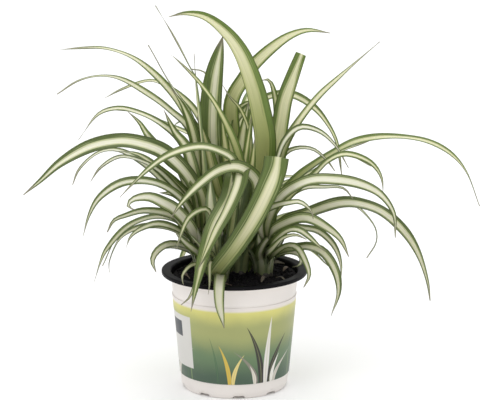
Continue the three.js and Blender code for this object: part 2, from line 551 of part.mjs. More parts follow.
// The blade's side direction: level and across its heading, then turned to face the front
function bladeSide(tangent, heading, turn) {
  const level = new THREE.Vector3(-heading.y, heading.x, 0);
  const side = level.addScaledVector(tangent, -level.dot(tangent)).normalize();
  const natural = new THREE.Vector3().crossVectors(tangent, side);
  const toEye = new THREE.Vector3(0, -Math.cos(SIGHT.down), Math.sin(SIGHT.down));
  toEye.addScaledVector(tangent, -toEye.dot(tangent)).normalize();
  const face = natural.multiplyScalar(Math.cos(turn)).addScaledVector(toEye, Math.sin(turn)).normalize();
  return new THREE.Vector3().crossVectors(face, tangent).normalize();
}

// Corners of a blade's section from its left margin, over the top and back underneath
function bladeSection(half, width) {
  if (width < BLADE.channelFrom) {
    return [[-half, 0], [half, 0], [half, -BLADE.thick], [-half, -BLADE.thick]];
  }
  const rise = 2 * half * BLADE.fold;
  return [
    [-half, rise], [0, 0], [half, rise],
    [half, rise - BLADE.thick], [0, -BLADE.thick], [-half, rise - BLADE.thick],
  ];
}

// Triangles that close a blade's two ends
const CHANNEL_END = [[0, 5, 4], [0, 4, 1], [1, 4, 3], [1, 3, 2]];
const STRIP_END = [[0, 3, 2], [0, 2, 1]];

function leafSolid(place, leaf, order) {
  const rib = midrib(place, leaf, order);
  const places = ribPlaces(rib);
  const steps = places.length - 1;
  const heading = rib.getPoint(1).sub(rib.getPoint(0)).setZ(0).normalize();
  const lengths = runningLengths(places.map((at) => rib.getPoint(at)));
  const points = [];
  for (let step = 0; step <= steps; step += 1) {
    const share = lengths[step] / lengths[steps];
    const centre = rib.getPoint(places[step]);
    const tangent = rib.getTangent(places[step]);
    const turn = THREE.MathUtils.degToRad(THREE.MathUtils.lerp(leaf.turn[0], leaf.turn[1], share));
    const side = bladeSide(tangent, heading, turn);
    const face = new THREE.Vector3().crossVectors(tangent, side);
    const half = Math.max(BLADE.tip, leaf.width * widthShare(share, leaf)) / 2;
    for (const [across, up] of bladeSection(half, leaf.width)) {
      points.push(centre.clone().addScaledVector(side, across).addScaledVector(face, up));
    }
  }
  // The top and the underside are split along the same diagonal, so a twisted blade stays sound
  const triangles = [];
  const corners = points.length / (steps + 1);
  for (let step = 0; step < steps; step += 1) {
    for (let corner = 0; corner < corners; corner += 1) {
      const a = step * corners + corner;
      const b = step * corners + ((corner + 1) % corners);
      const under = corner >= corners / 2 && corner < corners - 1;
      if (under) {
        triangles.push(a, a + corners, b, b, a + corners, b + corners);
      } else {
        triangles.push(a, b + corners, b, a, a + corners, b + corners);
      }
    }
  }
  const last = steps * corners;
  for (const [a, b, c] of corners === 6 ? CHANNEL_END : STRIP_END) {
    triangles.push(a, c, b);
    triangles.push(last + a, last + b, last + c);
  }
  return solidOf(geometryFrom(points, triangles));
}

// The largest body of a solid, without very short edges or a hollow that joining has sealed
function oneBody(solid) {
  const bodies = solid.simplify(SHORTEST_EDGE).decompose();
  return bodies.reduce((best, body) => (body.volume() > best.volume() ? body : best));
}

function makeRosette(name) {
  let rosette = crownSolid(CROWNS[name]);
  LEAVES[name].forEach((leaf, order) => {
    rosette = rosette.add(leafSolid(CROWNS[name], leaf, order));
  });
  return geometryOf(oneBody(rosette));
}

// The whole plant

const plant = new THREE.Group();

function place(name, geometry, kind) {
  const mesh = new THREE.Mesh(geometry, materialOf(kind));
  mesh.name = name;
  plant.add(mesh);
}

place('pot', makePot(), 'pot');
place('label_sleeve', makeSleeve(), 'sleeve');
place('soil', makeSoil(), 'soil');
for (const name of Object.keys(CROWNS)) {
  place(`rosette_${name}`, makeRosette(name), 'leaf');
}

export default plant;
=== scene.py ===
"""Potted spider plant: a clump of long striped leaves in a round nursery pot with a printed sleeve.

Metres, +Z up. The origin is the centre of the pot's foot, and the plant's front faces -Y.
Leaves are listed in millimetres, as they are measured.
"""
import math
import random
from collections import namedtuple
from contextlib import contextmanager
from functools import partial

import bmesh
import bpy
import numpy as np
from bpy.props import FloatProperty, FloatVectorProperty, IntProperty, PointerProperty
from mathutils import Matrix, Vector


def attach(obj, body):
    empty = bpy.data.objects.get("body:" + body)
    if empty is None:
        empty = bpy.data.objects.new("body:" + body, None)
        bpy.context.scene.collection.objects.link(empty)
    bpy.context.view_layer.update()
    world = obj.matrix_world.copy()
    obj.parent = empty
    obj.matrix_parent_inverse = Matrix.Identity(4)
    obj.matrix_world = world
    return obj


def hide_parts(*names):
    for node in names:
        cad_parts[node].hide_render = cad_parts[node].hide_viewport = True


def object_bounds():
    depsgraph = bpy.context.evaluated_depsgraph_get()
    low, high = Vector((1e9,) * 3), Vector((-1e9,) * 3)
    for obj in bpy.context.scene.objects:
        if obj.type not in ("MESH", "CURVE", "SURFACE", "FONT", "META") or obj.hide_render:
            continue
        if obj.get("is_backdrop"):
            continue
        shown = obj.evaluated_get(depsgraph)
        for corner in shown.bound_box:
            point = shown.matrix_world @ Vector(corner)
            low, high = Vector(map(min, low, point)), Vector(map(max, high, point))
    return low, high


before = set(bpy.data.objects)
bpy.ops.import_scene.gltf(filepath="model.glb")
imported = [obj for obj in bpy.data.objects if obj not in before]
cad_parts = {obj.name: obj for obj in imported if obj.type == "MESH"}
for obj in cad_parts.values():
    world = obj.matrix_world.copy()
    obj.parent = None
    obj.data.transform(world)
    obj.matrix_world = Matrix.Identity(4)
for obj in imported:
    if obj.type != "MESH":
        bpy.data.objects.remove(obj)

CAD_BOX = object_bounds()

bl_info = {
    "name": "Potted spider plant",
    "version": (1, 0, 0),
    "blender": (4, 5, 0),
    "location": "View3D > Sidebar > Plant",
    "description": "Builds a potted spider plant round its packed solids",
    "category": "Object",
}

MM = 0.001
BODY = "root"

# The photograph's line of sight: distance of the eye, how far it looks down, and the point
# it looks at, across and up in the plane of sight through the origin
SIGHT_DISTANCE = 2.1
SIGHT_DOWN = math.radians(13)
SIGHT_ACROSS = 0.0129
SIGHT_UP = 0.1529
FRAME_WIDTH = 500
PIXEL = 5 / 6 * MM
SENSOR = 36

# Pot: its rim, wall and floor
RIM_RADIUS = 0.060
RIM_HEIGHT = 0.099
RIM_LIP = 0.0028
LIP_ROUND = 0.0009
LIP_TUCK = (0.0014, 0.0006)
RIM_DIP = (0.003, 0.0003)
THROAT_ROUND = 0.0019
THROAT_DROP = 0.0022
FLANGE_DROP = 0.0044
FLANGE_CURVE = [(0.0004, 0.0008), (0.0014, 0.0013)]
WALL_FOOT_RADIUS = 0.0437
WALL_SLOPE = 0.0915
WALL = 0.0012
FLOOR_HEIGHT = 0.0048
FLOOR_TOP = FLOOR_HEIGHT + WALL + 0.0004
FLOOR_INSET = 0.002
INSIDE_FOOT = 0.012

# The notched ring and the centre pad that it stands on, and the drains
FOOT_INNER_RADIUS = 0.037
FOOT_SLOPE = 0.0015
FOOT_ROUND = 0.0014
FOOT_ROUND_RADIUS = WALL_FOOT_RADIUS - 0.0022
FOOT_ROWS = (0.003, 0.006)
FOOT_COUNT = 9
FOOT_TURN = math.radians(15)
INNER_ROUND = 0.0006
NOTCH_INNER_RADIUS = 0.0395
NOTCH_EDGE = 0.0003
NOTCH_RAMP = 0.16
PAD_RADIUS = 0.009
PAD_SLOPE = 0.004
DRAIN_COUNT = 6
DRAIN_SIDES = 24
DRAIN_RADIUS = 0.004
DRAIN_CIRCLE = 0.027
DRAIN_DEPTH = 0.012

# Sleeve
SLEEVE_LOW = 0.0128
SLEEVE_HIGH = 0.079
SLEEVE_ROWS = [SLEEVE_LOW, 0.03, 0.05, 0.065, SLEEVE_HIGH]
SLEEVE_SEGMENTS = 180
SEAM_HALF = 0.004
SEAM_AT = math.radians(90)

# The gap between pieces that touch
GAP = 0.0003

# Soil, a low mound a little under the rim
SOIL_EDGE = 0.0935
SOIL_MOUND = 0.0025
SOIL_LUMP = 0.55 * MM
SOIL_FOOT = 0.0124
SOIL_FLOOR_ROUND = 0.008
SOIL_SEGMENTS = 96
SOIL_RINGS = 26

# Crumbs: how deep and tall they are as shares of their width, and how far their points are
# pushed, as a share of their radius, by a noise of that scale
CRUMB_DEEP = 0.75
CRUMB_TALL = 0.6
CRUMB_PUSH = 1.6
CRUMB_GRAIN = 700.0

# Dead leaf scraps on the soil: middle, heading in degrees, length and width in millimetres
SCRAPS = [
    ((7, 7), -40, 17, 4.5),
    ((35, 28), 10, 14, 4.0),
    ((43, 10), 60, 11, 3.0),
    ((24, -24), 70, 12, 3.0),
    ((-40, -12), -60, 15, 3.0),
    ((-8, -44), 20, 13, 2.6),
    ((38, -20), 140, 10, 2.4),
    ((-30, 30), 30, 16, 3.4),
    ((6, 44), 100, 14, 3.0),
]
SCRAP_STEPS = 12
SCRAP_LIFT = 0.0012
SCRAP_ARCH = 0.0022

# Crowns, the stubs from which the leaves rise
CROWN_RADIUS = 0.0085
CROWN_ROOT = 0.024
CROWN_LIFT = 0.009
CROWN_SEGMENTS = 40

# A crown's form: how often its sheaths lap, how deep a lap is and how it turns as it rises, and
# rows of points as shares of the radius, each with its height over the root
CROWN_LAPS = 7
CROWN_LAP_DEPTH = 0.09
CROWN_TWIST = 40
CROWN_ROWS = [(0.5, 0), (0.9, 0.008), (1, 0.022), (1, 0.025), (0.86, 0.031), (0.5, 0.0348)]

# Each crown's middle
CROWNS = {
    "left": (-0.025, -0.003),
    "front": (-0.012, -0.026),
    "right": (0.024, -0.006),
    "middle": (0.004, 0.002),
    "back": (-0.004, 0.027),
}

# A leaf's root in its crown: the turn from one to the next, its height over the soil's edge, its
# distance from the middle and that of the next point over it as shares of the crown's radius
GOLDEN_ANGLE = math.radians(137.5)
ROOT_HEIGHT = 0.0045
ROOT_STEP = 0.0007
ROOT_REACH = 0.3
LIFT_REACH = 0.4
LIFT_MOST = 0.45

# A blade: the share of its full width at its foot, where along it it is widest, how it tapers,
# its least width, and the spacing of its rings
BLADE_FOOT = 0.7
BLADE_WIDEST = 0.3
BLADE_TAPER = 3
BLADE_TIP = 0.0004
RING_STEP = 0.004
FEWEST_RINGS = 14
SPAN_SAMPLES = 24

# A blade's section: the power by which its margins rise, and its thickness at most as a share of
# its half width. Waves run along the margins: radians to a metre, the lag between the two
# margins, the turn by a blade's shade and by the seed, and where along a blade they come in.
FOLD_POWER = 1.3
THINNEST = 0.4
RIPPLE_PITCH = 95.0
RIPPLE_LAG = 1.3
RIPPLE_TURN = 40.0
RIPPLE_SEED = 0.37
RIPPLE_START = (0.1, 0.3)

# Bare borders of a blade's strip in the UV map
STRIP_MARGIN = 0.04
END_MARGIN = 0.01

# Leaf: width and midrib points across, up and deep in the line of sight, in millimetres, with
# the turn of the face to the front at the foot and at the tip in degrees. A cut leaf keeps the
# share cut of its width at its end. A leaf may be widest at its own share of its length, or
# have its own taper and narrow sooner or later. stripe is the half width of the pale stripe as
# a share of the blade's, and shift moves it. fresh says how young and yellow-green a leaf is
# where that isn't the rosette's usual.
Leaf = namedtuple(
    "Leaf", "width turn path cut taper widest stripe shift fresh",
    defaults=(0, BLADE_TAPER, BLADE_WIDEST, 0, 0, 0))

# The short outer sheaths of a crown: how many, how deep in the soil, how tall, how far they lean
# as a share of that, how far out they stand as a share of the crown's radius, and their form
SHEATH_BLADES = 9
SHEATH_ROOT = 0.002
SHEATH_HEIGHTS = (0.026, 0.05)
SHEATH_LEANS = (0.2, 0.55)
SHEATH_REACH = 0.8
SHEATH_LEAF = Leaf(9.5, (0, 0), [])

# The usual half width of the stripe, as a share of the blade's
STRIPE_RANGE = (0.38, 0.56)

# How young and yellow-green each rosette's leaves are
FRESH = {"left": 0.1, "front": 0.4, "right": 0.15, "middle": 0.95, "back": 0.6}

# Lamps: name, place, size and power
LAMPS = [
    ("key_lamp", (-0.9, -1.5, 1.9), 1.2, 10),
    ("fill_lamp", (1.6, -1.4, 1.0), 1.4, 2),
    ("back_lamp", (0.5, 1.5, 1.7), 1.2, 8),
]
LAMP_AIM = Vector((0, 0, 0.16))
FLOOR_SEGMENTS = 96

LEAVES = {"left": [
    Leaf(5, (10, 10), [(-29, 199, 10), (-37, 224, 11), (-54, 250, 12), (-72, 282, 14)]),
    Leaf(10, (40, 30), [(-37, 209, 14), (-54, 227, 18), (-71, 240, 20), (-96, 254, 22), (-113, 256, 23),
        (-130, 252, 23), (-148, 241, 22)], taper=1.8, fresh=0.4),
    Leaf(9.5, (55, 35), [(-34, 165, -4), (-45, 201, -8), (-62, 216.5, -12), (-79, 225, -14),
        (-97, 229, -15), (-113, 224.5, -15), (-130, 203, -14)], taper=2, fresh=0.3),
    Leaf(11, (60, 75), [(-29, 161, -18), (-58, 189, -26), (-74, 209, -29), (-79, 217, -30),
        (-90, 227.5, -30)], fresh=0.45),
    Leaf(15, (50, 68), [(-33, 161, -20), (-58, 191, -30), (-79, 199.5, -36), (-96, 201.7, -40),
        (-120, 197, -44), (-145, 183.5, -47), (-162, 168.5, -48), (-176, 157, -48)],
        stripe=0.45, fresh=0.25),
    Leaf(8, (20, 35), [(-39, 146, 6), (-62, 170, 10), (-79, 185, 12), (-97, 194, 14), (-112.5, 192.3, 15),
        (-129.5, 178, 15), (-135, 165.5, 15)]),
    Leaf(11, (40, 45), [(-36, 150, 0), (-50, 166, -2), (-58, 173, -3), (-66, 180, -4), (-74, 187, -4),
        (-83, 191.5, -4), (-97, 193.5, -4)], fresh=0.4),
    Leaf(7, (30, 40), [(-36, 145, -9), (-54, 168, -13), (-64, 177.5, -15), (-75, 184, -17),
        (-95, 188.7, -20), (-112, 179.3, -21), (-120, 168.3, -21)]),
    Leaf(10, (35, 50), [(-36, 140, -22), (-50, 158, -30), (-70, 167.5, -37), (-94, 166.5, -41),
        (-112.5, 154.5, -43), (-121, 140, -43), (-126, 123, -43)]),
    Leaf(12, (60, 75), [(-36, 128, -28), (-50, 144.5, -38), (-58, 149.5, -43), (-72, 155.3, -47),
        (-86, 152.5, -50), (-88.5, 147.5, -52), (-82, 144.5, -55)]),
    Leaf(9, (40, 50), [(-36, 125, -14), (-50, 138.5, -20), (-75, 143.5, -26), (-91, 139.5, -28),
        (-100.5, 135.5, -29), (-106, 126, -29)]),
    Leaf(8, (30, 40), [(-41, 131, 2), (-62, 138.7, 3), (-87, 131.3, 3), (-106.7, 111, 2), (-111.5, 101, 2),
        (-117, 84.5, 1)]),
    Leaf(8, (20, 30), [(-40, 121, 10), (-58, 129.5, 15), (-80, 129.3, 19), (-95, 120.5, 20),
        (-104.5, 100, 20), (-104, 92.5, 20)]),
    Leaf(8, (35, 45), [(-38, 121, -22), (-54, 130.5, -33), (-66, 132.5, -38), (-80, 127.5, -41),
        (-87, 121.5, -42), (-90.5, 112, -42)]),
    Leaf(9, (20, 40), [(-36, 111, -9), (-50, 115.7, -12), (-59, 113.7, -13), (-66, 107.5, -14),
        (-68, 101.5, -14), (-65.3, 92.5, -13)]),
    Leaf(8, (30, 30), [(-34, 108, 3), (-44, 112.3, 5), (-55, 113.3, 6), (-67, 109, 7)]),
    Leaf(12, (65, 80), [(-30, 150, -11), (-41, 198, -15), (-50, 210, -16), (-59, 228, -17)], fresh=0.5),
    Leaf(12.4, (50, 65), [(-30, 160, 0), (-34, 205, 3), (-43.5, 232, 4), (-53, 246, 5)], fresh=0.6),
    Leaf(9, (10, 10), [(-25, 150, -9), (-27, 195, -12), (-30, 228, -13), (-32.5, 253, -13),
        (-33.7, 275, -13)], taper=1.4, fresh=0.7),
    Leaf(8, (60, 80), [(-31, 118, -17), (-42, 129, -24), (-52, 140, -28)]),
    Leaf(8, (60, 80), [(-30, 108, -26), (-41, 117, -36), (-50, 127, -42)]),
    Leaf(11, (30, 50), [(-30, 130, 3), (-40, 149, 6), (-50, 157, 8), (-63, 159, 9)]),
    Leaf(10, (60, 80), [(-27, 125, -12), (-37, 142, -15), (-47, 159, -17)]),
    Leaf(7, (20, 30), [(-36, 122, 14), (-50, 137, 22), (-66, 141, 27), (-80, 138, 30)]),
    Leaf(8, (20, 40), [(-34, 140, 6), (-45, 174, 10), (-55, 192, 12), (-62, 199, 13)]),
], "front": [
    Leaf(12, (75, 75), [(17, 140, -38), (19.6, 160, -42), (16, 172, -48), (3, 180.5, -54), (-12, 178, -60),
        (-29, 166, -65), (-45, 149.5, -68), (-53.5, 137, -69)], stripe=0.5),
    Leaf(20, (90, 90), [(-17, 92, -43), (-10, 101, -46), (-4, 108.5, -49), (4, 119.6, -52),
        (14, 135.4, -56), (22.4, 151.3, -59), (30, 168, -61), (33.5, 179, -61), (35, 189, -61)],
        cut=1, widest=1, stripe=0.46, shift=-0.13, fresh=0.5),
    Leaf(15, (10, 10), [(1, 150, -33), (0, 173, -43), (-4, 156, -53), (-16.6, 133, -62), (-23.5, 112, -68),
        (-31, 84, -70), (-36.2, 60, -67)], stripe=0.3),
    Leaf(13, (0, 0), [(5, 152, -37), (7, 178, -50), (4.6, 165, -60), (-6, 141, -71), (-14, 127, -76),
        (-21, 113, -79), (-31, 94, -80)], stripe=0.4, shift=-0.35),
    Leaf(13, (0, 10), [(-18, 128, -34), (-20, 150, -40), (-20, 171, -44)]),
    Leaf(9.5, (0, 0), [(-11, 90.5, -44), (-12, 88, -56), (-12.5, 84, -64), (-13, 76, -69.5),
        (-12.5, 65, -71), (-10.5, 55, -69), (-8.6, 46, -67)], stripe=0.68, fresh=0.05),
    Leaf(4, (0, 0), [(-18, 101, -42), (-20.5, 99, -56), (-20.8, 82, -64.5), (-22, 74, -66)]),
    Leaf(4.5, (60, 40), [(-19, 108, -38), (-26, 102, -56), (-33, 82, -66), (-38, 71, -68),
        (-44.6, 65.4, -68)]),
    Leaf(6, (60, 60), [(-18, 132, -38), (-24, 145, -48), (-36, 140, -54), (-41, 133, -56), (-46, 120, -57),
        (-49, 111, -57)]),
    Leaf(4.5, (60, 40), [(-23, 98, -32), (-34, 99, -38), (-40, 95, -46), (-43.5, 89, -52),
        (-42.5, 82, -56)]),
    Leaf(9, (60, 60), [(0, 150, -38), (-1, 185, -52), (-12, 193, -62), (-29, 197, -70), (-54, 190.5, -78),
        (-70, 180, -83), (-87, 164, -86), (-95.5, 155, -87)]),
    Leaf(9, (50, 60), [(4, 120, -34), (12, 132, -36), (18, 140, -37)]),
], "right": [
    Leaf(9, (10, 30), [(31, 150, 8), (34, 207, 16), (34.6, 232, 16), (28, 253, 14), (16, 249.5, 12)],
        fresh=0.7),
    Leaf(15, (75, 80), [(29.5, 150, 1), (36.5, 203, 5), (39, 220, 6), (42, 236, 7), (50.5, 261, 8),
        (55.7, 274.8, 8)], cut=0.6, stripe=0.64, shift=-0.12, fresh=0.7),
    Leaf(10, (70, 60), [(33, 150, -18), (41, 195, -25), (53, 217, -26), (70.5, 239.5, -26),
        (88, 255.8, -26), (105, 271, -25), (121, 284.8, -24)], taper=1.5, fresh=0.6),
    Leaf(7, (50, 60), [(33, 170, -24), (42, 202, -30), (55, 213.3, -33), (71, 209.8, -35),
        (84.3, 197.8, -36), (95, 179.7, -37)]),
    Leaf(7, (40, 50), [(30, 161, -16), (45, 193, -22), (64, 195.5, -24), (78, 184.7, -25),
        (83.5, 177, -25)]),
    Leaf(9, (20, 35), [(34, 148, 6), (50, 169, 8), (67, 182.3, 9), (84, 192.9, 10), (100, 200.8, 11),
        (121, 204.8, 12), (145, 204.4, 13), (163, 200.5, 13), (180, 191, 13), (193, 176, 13),
        (204.3, 147.7, 13)], fresh=0.6),
    Leaf(8, (40, 50), [(34, 140, -26), (50, 159, -36), (67, 174, -42), (80, 186.5, -45), (92.5, 191, -46),
        (113, 184, -47), (122, 172, -47), (124, 154.5, -47)], fresh=0.5),
    Leaf(11, (50, 65), [(30, 138, -35), (40, 156, -45), (63, 168.7, -54), (84, 169.4, -57),
        (105, 165.6, -59), (121, 157.7, -60), (132.5, 141.7, -60), (134, 121.5, -59)]),
    Leaf(7, (40, 50), [(36, 145, -16), (56, 162, -20), (75, 163.5, -22), (91, 162.5, -23),
        (98.5, 154, -23)]),
    Leaf(12, (40, 50), [(36, 129, -8), (46, 137, -12), (60, 141, -15), (75, 146.3, -18), (88, 149.7, -19),
        (100, 149.8, -20), (121, 143.5, -21), (140, 127.5, -22), (152, 109, -22), (160.5, 85, -21),
        (163, 69, -20)], stripe=0.5),
    Leaf(7, (25, 20), [(38, 126, 2), (63, 142, 6), (88, 149, 8), (100, 147.7, 9), (117, 129.8, 9),
        (118, 118, 9), (110, 104.5, 8)]),
    Leaf(11, (50, 60), [(30, 125, -30), (42, 133, -38), (59, 137.5, -44), (75, 130.8, -48),
        (88, 120.3, -50), (95.2, 105.5, -50)]),
    Leaf(8, (35, 40), [(36, 118, -6), (46, 129, -8), (59, 129, -10), (70, 126.3, -11), (82, 115, -11),
        (88, 100, -11), (88.5, 81, -11)]),
    Leaf(9, (50, 50), [(34, 118, -38), (46, 127.5, -50), (54, 127.5, -55), (62, 122, -58),
        (69, 115.7, -59), (75.5, 110, -60)]),
    Leaf(8, (50, 50), [(32, 112, -42), (42, 121.5, -55), (52, 123.5, -61), (60, 120, -63)]),
    Leaf(10, (40, 40), [(36, 109, -16), (54, 113, -24), (62, 113.5, -26), (73, 109, -28), (83, 94.5, -29),
        (86.3, 77, -29), (80.4, 56, -28)]),
    Leaf(7, (50, 50), [(34, 108, -24), (44.5, 114.5, -32), (51.5, 113.5, -35), (58.5, 102.5, -37),
        (62, 90, -37), (57.5, 80, -37)]),
    Leaf(8, (20, 60), [(34, 106, -1), (46, 110, -2), (55, 106, -4), (54, 99, -7), (48, 97, -9)]),
    Leaf(8, (60, 60), [(23, 140, -36), (34, 147.5, -50), (46, 150.5, -60), (55, 151, -65),
        (64, 143.5, -69), (65.5, 137, -70)]),
    Leaf(10, (60, 70), [(30, 112, -12), (40, 124, -17), (47, 128, -20)]),
    Leaf(8, (60, 60), [(22, 110, -22), (30, 122, -30), (38, 126, -35)]),
    Leaf(10, (70, 80), [(26, 130, -12), (32, 158, -14), (36, 180, -15)]),
    Leaf(10, (25, 30), [(34, 120, 10), (50, 138, 20), (68, 145, 28), (84, 145, 32)]),
    Leaf(8, (20, 30), [(32, 140, 12), (46, 164, 22), (62, 172, 28), (80, 168, 32)]),
], "middle": [
    Leaf(18, (85, 85), [(16, 140, -4), (24, 180, -10), (25.4, 203, -14), (23, 220, -17), (16.3, 248, -21),
        (5, 276.5, -24), (-8, 293.7, -26), (-25, 306, -27), (-41, 308.5, -27), (-55, 305.5, -27)],
        taper=2.5, stripe=0.64, shift=0.28),
    Leaf(10, (55, 60), [(7, 165, -18), (2, 193, -22), (-13.5, 228, -25), (-28.5, 249.5, -26),
        (-44.5, 266.5, -26), (-55, 276, -26)], taper=1.6),
    Leaf(6, (50, 60), [(9, 170, 1), (13, 203, 0), (5, 228, -2), (-4, 239, -4), (-10, 249, -5)]),
    Leaf(8, (60, 80), [(4, 150, -9), (8, 180, -13), (12, 207, -15), (14.6, 225, -16)]),
    Leaf(10, (60, 80), [(9, 149, -16), (14.6, 180, -28), (17, 205, -32)]),
    Leaf(11, (60, 70), [(-2, 150, -8), (-6, 180, -12), (-9, 205, -14), (-11, 226, -14)]),
    Leaf(9, (60, 70), [(8, 150, 6), (11, 190, 8), (14, 222, 8), (17, 240, 7)]),
    Leaf(10, (70, 80), [(-6, 130, -12), (-14, 150, -18), (-22, 166, -22)]),
    Leaf(13, (50, 70), [(-8, 140, -3), (-18, 176, -5), (-25, 205, -6), (-31, 224, -6)]),
    Leaf(12, (60, 80), [(1, 150, -4), (-2, 190, -4), (-6, 214, -4)]),
    Leaf(11, (70, 80), [(2, 128, -14), (0, 150, -20), (-3, 170, -24)]),
    Leaf(11, (70, 80), [(10, 128, -9), (18, 150, -14), (25, 168, -17)]),
], "back": [
    Leaf(6, (12, 12), [(-14, 195, 24), (-29, 249, 26), (-37, 263, 27), (-54, 295, 28), (-66, 315, 28)],
        taper=1.5),
    Leaf(12.4, (50, 35), [(-22, 186, 30), (-49, 236.5, 34), (-70.5, 260.5, 36), (-87, 272.3, 37),
        (-108, 279, 38), (-125, 279.5, 38), (-149, 278, 37)], taper=1.3),
    Leaf(8, (25, 30), [(-20, 195, 38), (-33, 226, 44), (-43, 237.5, 46), (-56, 247, 48), (-70, 252, 50),
        (-95, 244.5, 51), (-108, 238, 51)]),
    Leaf(14, (60, 80), [(0, 195, 22), (-1.5, 235, 20), (8, 253.5, 18), (16, 264.7, 17), (31, 279, 16),
        (46.5, 289.7, 16), (61, 294.3, 16), (80, 292, 16)], stripe=0.7, fresh=0.9),
    Leaf(18.5, (85, 85), [(-14, 153, 17), (-20, 203, 12), (-19.5, 236, 11), (-16.3, 261, 11),
        (-9.8, 289.5, 11)], taper=6, stripe=0.38, shift=-0.2, fresh=0.4),
    Leaf(6, (20, 30), [(-15, 200, 28), (-19, 240, 32), (-25, 259, 33), (-37, 262, 33)]),
    Leaf(10, (35, 45), [(-6, 195, 26), (5, 223, 28), (30, 239, 29), (48, 240, 28), (65, 230.3, 26),
        (76, 217.8, 24), (84.7, 201.5, 22), (89.3, 173.5, 19)]),
    Leaf(9, (60, 70), [(-6, 190, 20), (-3, 221, 22), (9, 233, 22), (15, 234.5, 22), (24, 229, 22)]),
    Leaf(10, (0, 0), [(-12, 150, 42), (-22, 192, 60), (-34, 214, 80), (-44, 218, 98), (-52, 214, 112)]),
    Leaf(7, (0, 0), [(-14, 130, 44), (-36, 158, 66), (-66, 168, 88), (-95, 167.5, 102), (-112, 156, 108)]),
    Leaf(10, (0, 0), [(-8, 150, 44), (-10, 196, 70), (-14, 216, 100), (-18, 200, 130), (-22, 164, 148)]),
    Leaf(11, (0, 0), [(0, 160, 42), (6, 214, 62), (14, 240, 86), (24, 238, 116), (32, 208, 140)]),
    Leaf(9, (0, 0), [(4, 135, 44), (16, 160, 68), (32, 170, 92), (52, 172, 116), (72, 170, 132)]),
    Leaf(8, (0, 0), [(8, 140, 40), (34, 162, 54), (64, 175.5, 70), (92, 190, 84), (114, 181, 92)]),
    Leaf(7, (0, 0), [(10, 125, 40), (38, 138, 56), (72, 146, 72), (104, 149.5, 82), (130, 136, 86)]),
    Leaf(8, (0, 0), [(-14, 140, 36), (-40, 180, 46), (-70, 197, 58), (-98, 202, 66), (-128, 193, 73)]),
    Leaf(8, (0, 0), [(-14, 118, 38), (-40, 136.5, 52), (-70, 139.5, 68), (-96, 124, 78), (-110, 98, 82)]),
    Leaf(9, (0, 0), [(-6, 122, 46), (-16, 142, 74), (-26, 140, 102), (-34, 114, 122)]),
    Leaf(9, (0, 0), [(2, 120, 46), (10, 140, 76), (18, 138, 106), (24, 110, 128)]),
    Leaf(7, (0, 0), [(8, 116, 42), (34, 133, 62), (60, 137, 82), (76, 130.5, 94)]),
    Leaf(11, (10, 10), [(-4, 165, 38), (-6, 196, 50), (-6, 214, 64), (-2, 220, 82), (4, 214, 100)]),
    Leaf(8, (0, 0), [(-10, 165, 36), (-28, 200, 50), (-54, 215, 66), (-80, 225.5, 78), (-100, 228, 84)]),
    Leaf(9, (0, 0), [(6, 150, 34), (28, 156, 44), (52, 170, 54), (82, 190, 64), (112, 202, 70)]),
    Leaf(8, (0, 0), [(-12, 112, 46), (-26, 120, 62), (-40, 112, 76), (-48, 92, 84)]),
    Leaf(8, (0, 0), [(6, 110, 48), (22, 118, 66), (38, 108, 80), (46, 88, 88)]),
    Leaf(9, (0, 0), [(12, 108, 36), (34, 112, 44), (60, 112, 52), (78, 98, 56)]),
    Leaf(12, (60, 80), [(-12, 150, 21), (-22, 192, 18), (-31, 222, 18)]),
    Leaf(12, (80, 80), [(0, 150, 20), (6, 200, 17), (12, 236, 16)]),
    Leaf(12, (80, 80), [(-7, 140, 20), (-11, 180, 16), (-14, 212, 15)]),
    Leaf(12, (60, 60), [(8, 140, 22), (20, 176, 22), (32, 204, 23), (42, 222, 24)]),
    Leaf(12, (40, 60), [(-16, 140, 22), (-34, 172, 22), (-52, 190, 24), (-66, 192, 26)]),
]}


def tint(code):
    """A colour written as six hexadecimal digits, as the linear values that Blender takes."""
    parts = [int(code[at:at + 2], 16) / 255 for at in (0, 2, 4)]
    return tuple(p / 12.92 if p <= 0.04045 else ((p + 0.055) / 1.055) ** 2.4 for p in parts)


# Colours that a user doesn't set
STRIPE_LINES = tint("969a68")
GREEN_SHADE = tint("687a3d")
UNDERSIDE = tint("96a283")
SHEATH_PALE = tint("7d7f58")
SHEATH_GREEN = tint("4b5a30")
SHEATH_FOOT = tint("2a221b")
SCRAP_PALE = tint("757060")
SCRAP_LINES = tint("443c32")
SCRAP_BLOTCH = tint("5c4b3e")
DULL_WHITE = tint("d6d0d2")
DULL_BLACK = tint("0d0c0f")
PANEL_WHITE = tint("d2d0cb")
PANEL_DARK = tint("3d4247")
FILM_DUST = tint("e8e6e0")
FLOOR_DRIFT = tint("f2f2f0")


# Settings

def colour_property(name, code, description):
    """A colour that a user can change."""
    return FloatVectorProperty(
        name=name, description=description, subtype="COLOR", size=3, min=0, max=1, default=tint(code))


def length_property(name, default, low, high, description):
    """A length that a user can change."""
    return FloatProperty(name=name, description=description, default=default, min=low, max=high,
                         unit="LENGTH")


def share_property(name, default, high, description):
    """A share that a user can change."""
    return FloatProperty(name=name, description=description, default=default, min=0, max=high,
                         subtype="FACTOR")


def count_property(name, default, low, high, description):
    """A whole number that a user can change."""
    return IntProperty(name=name, description=description, default=default, min=low, max=high)


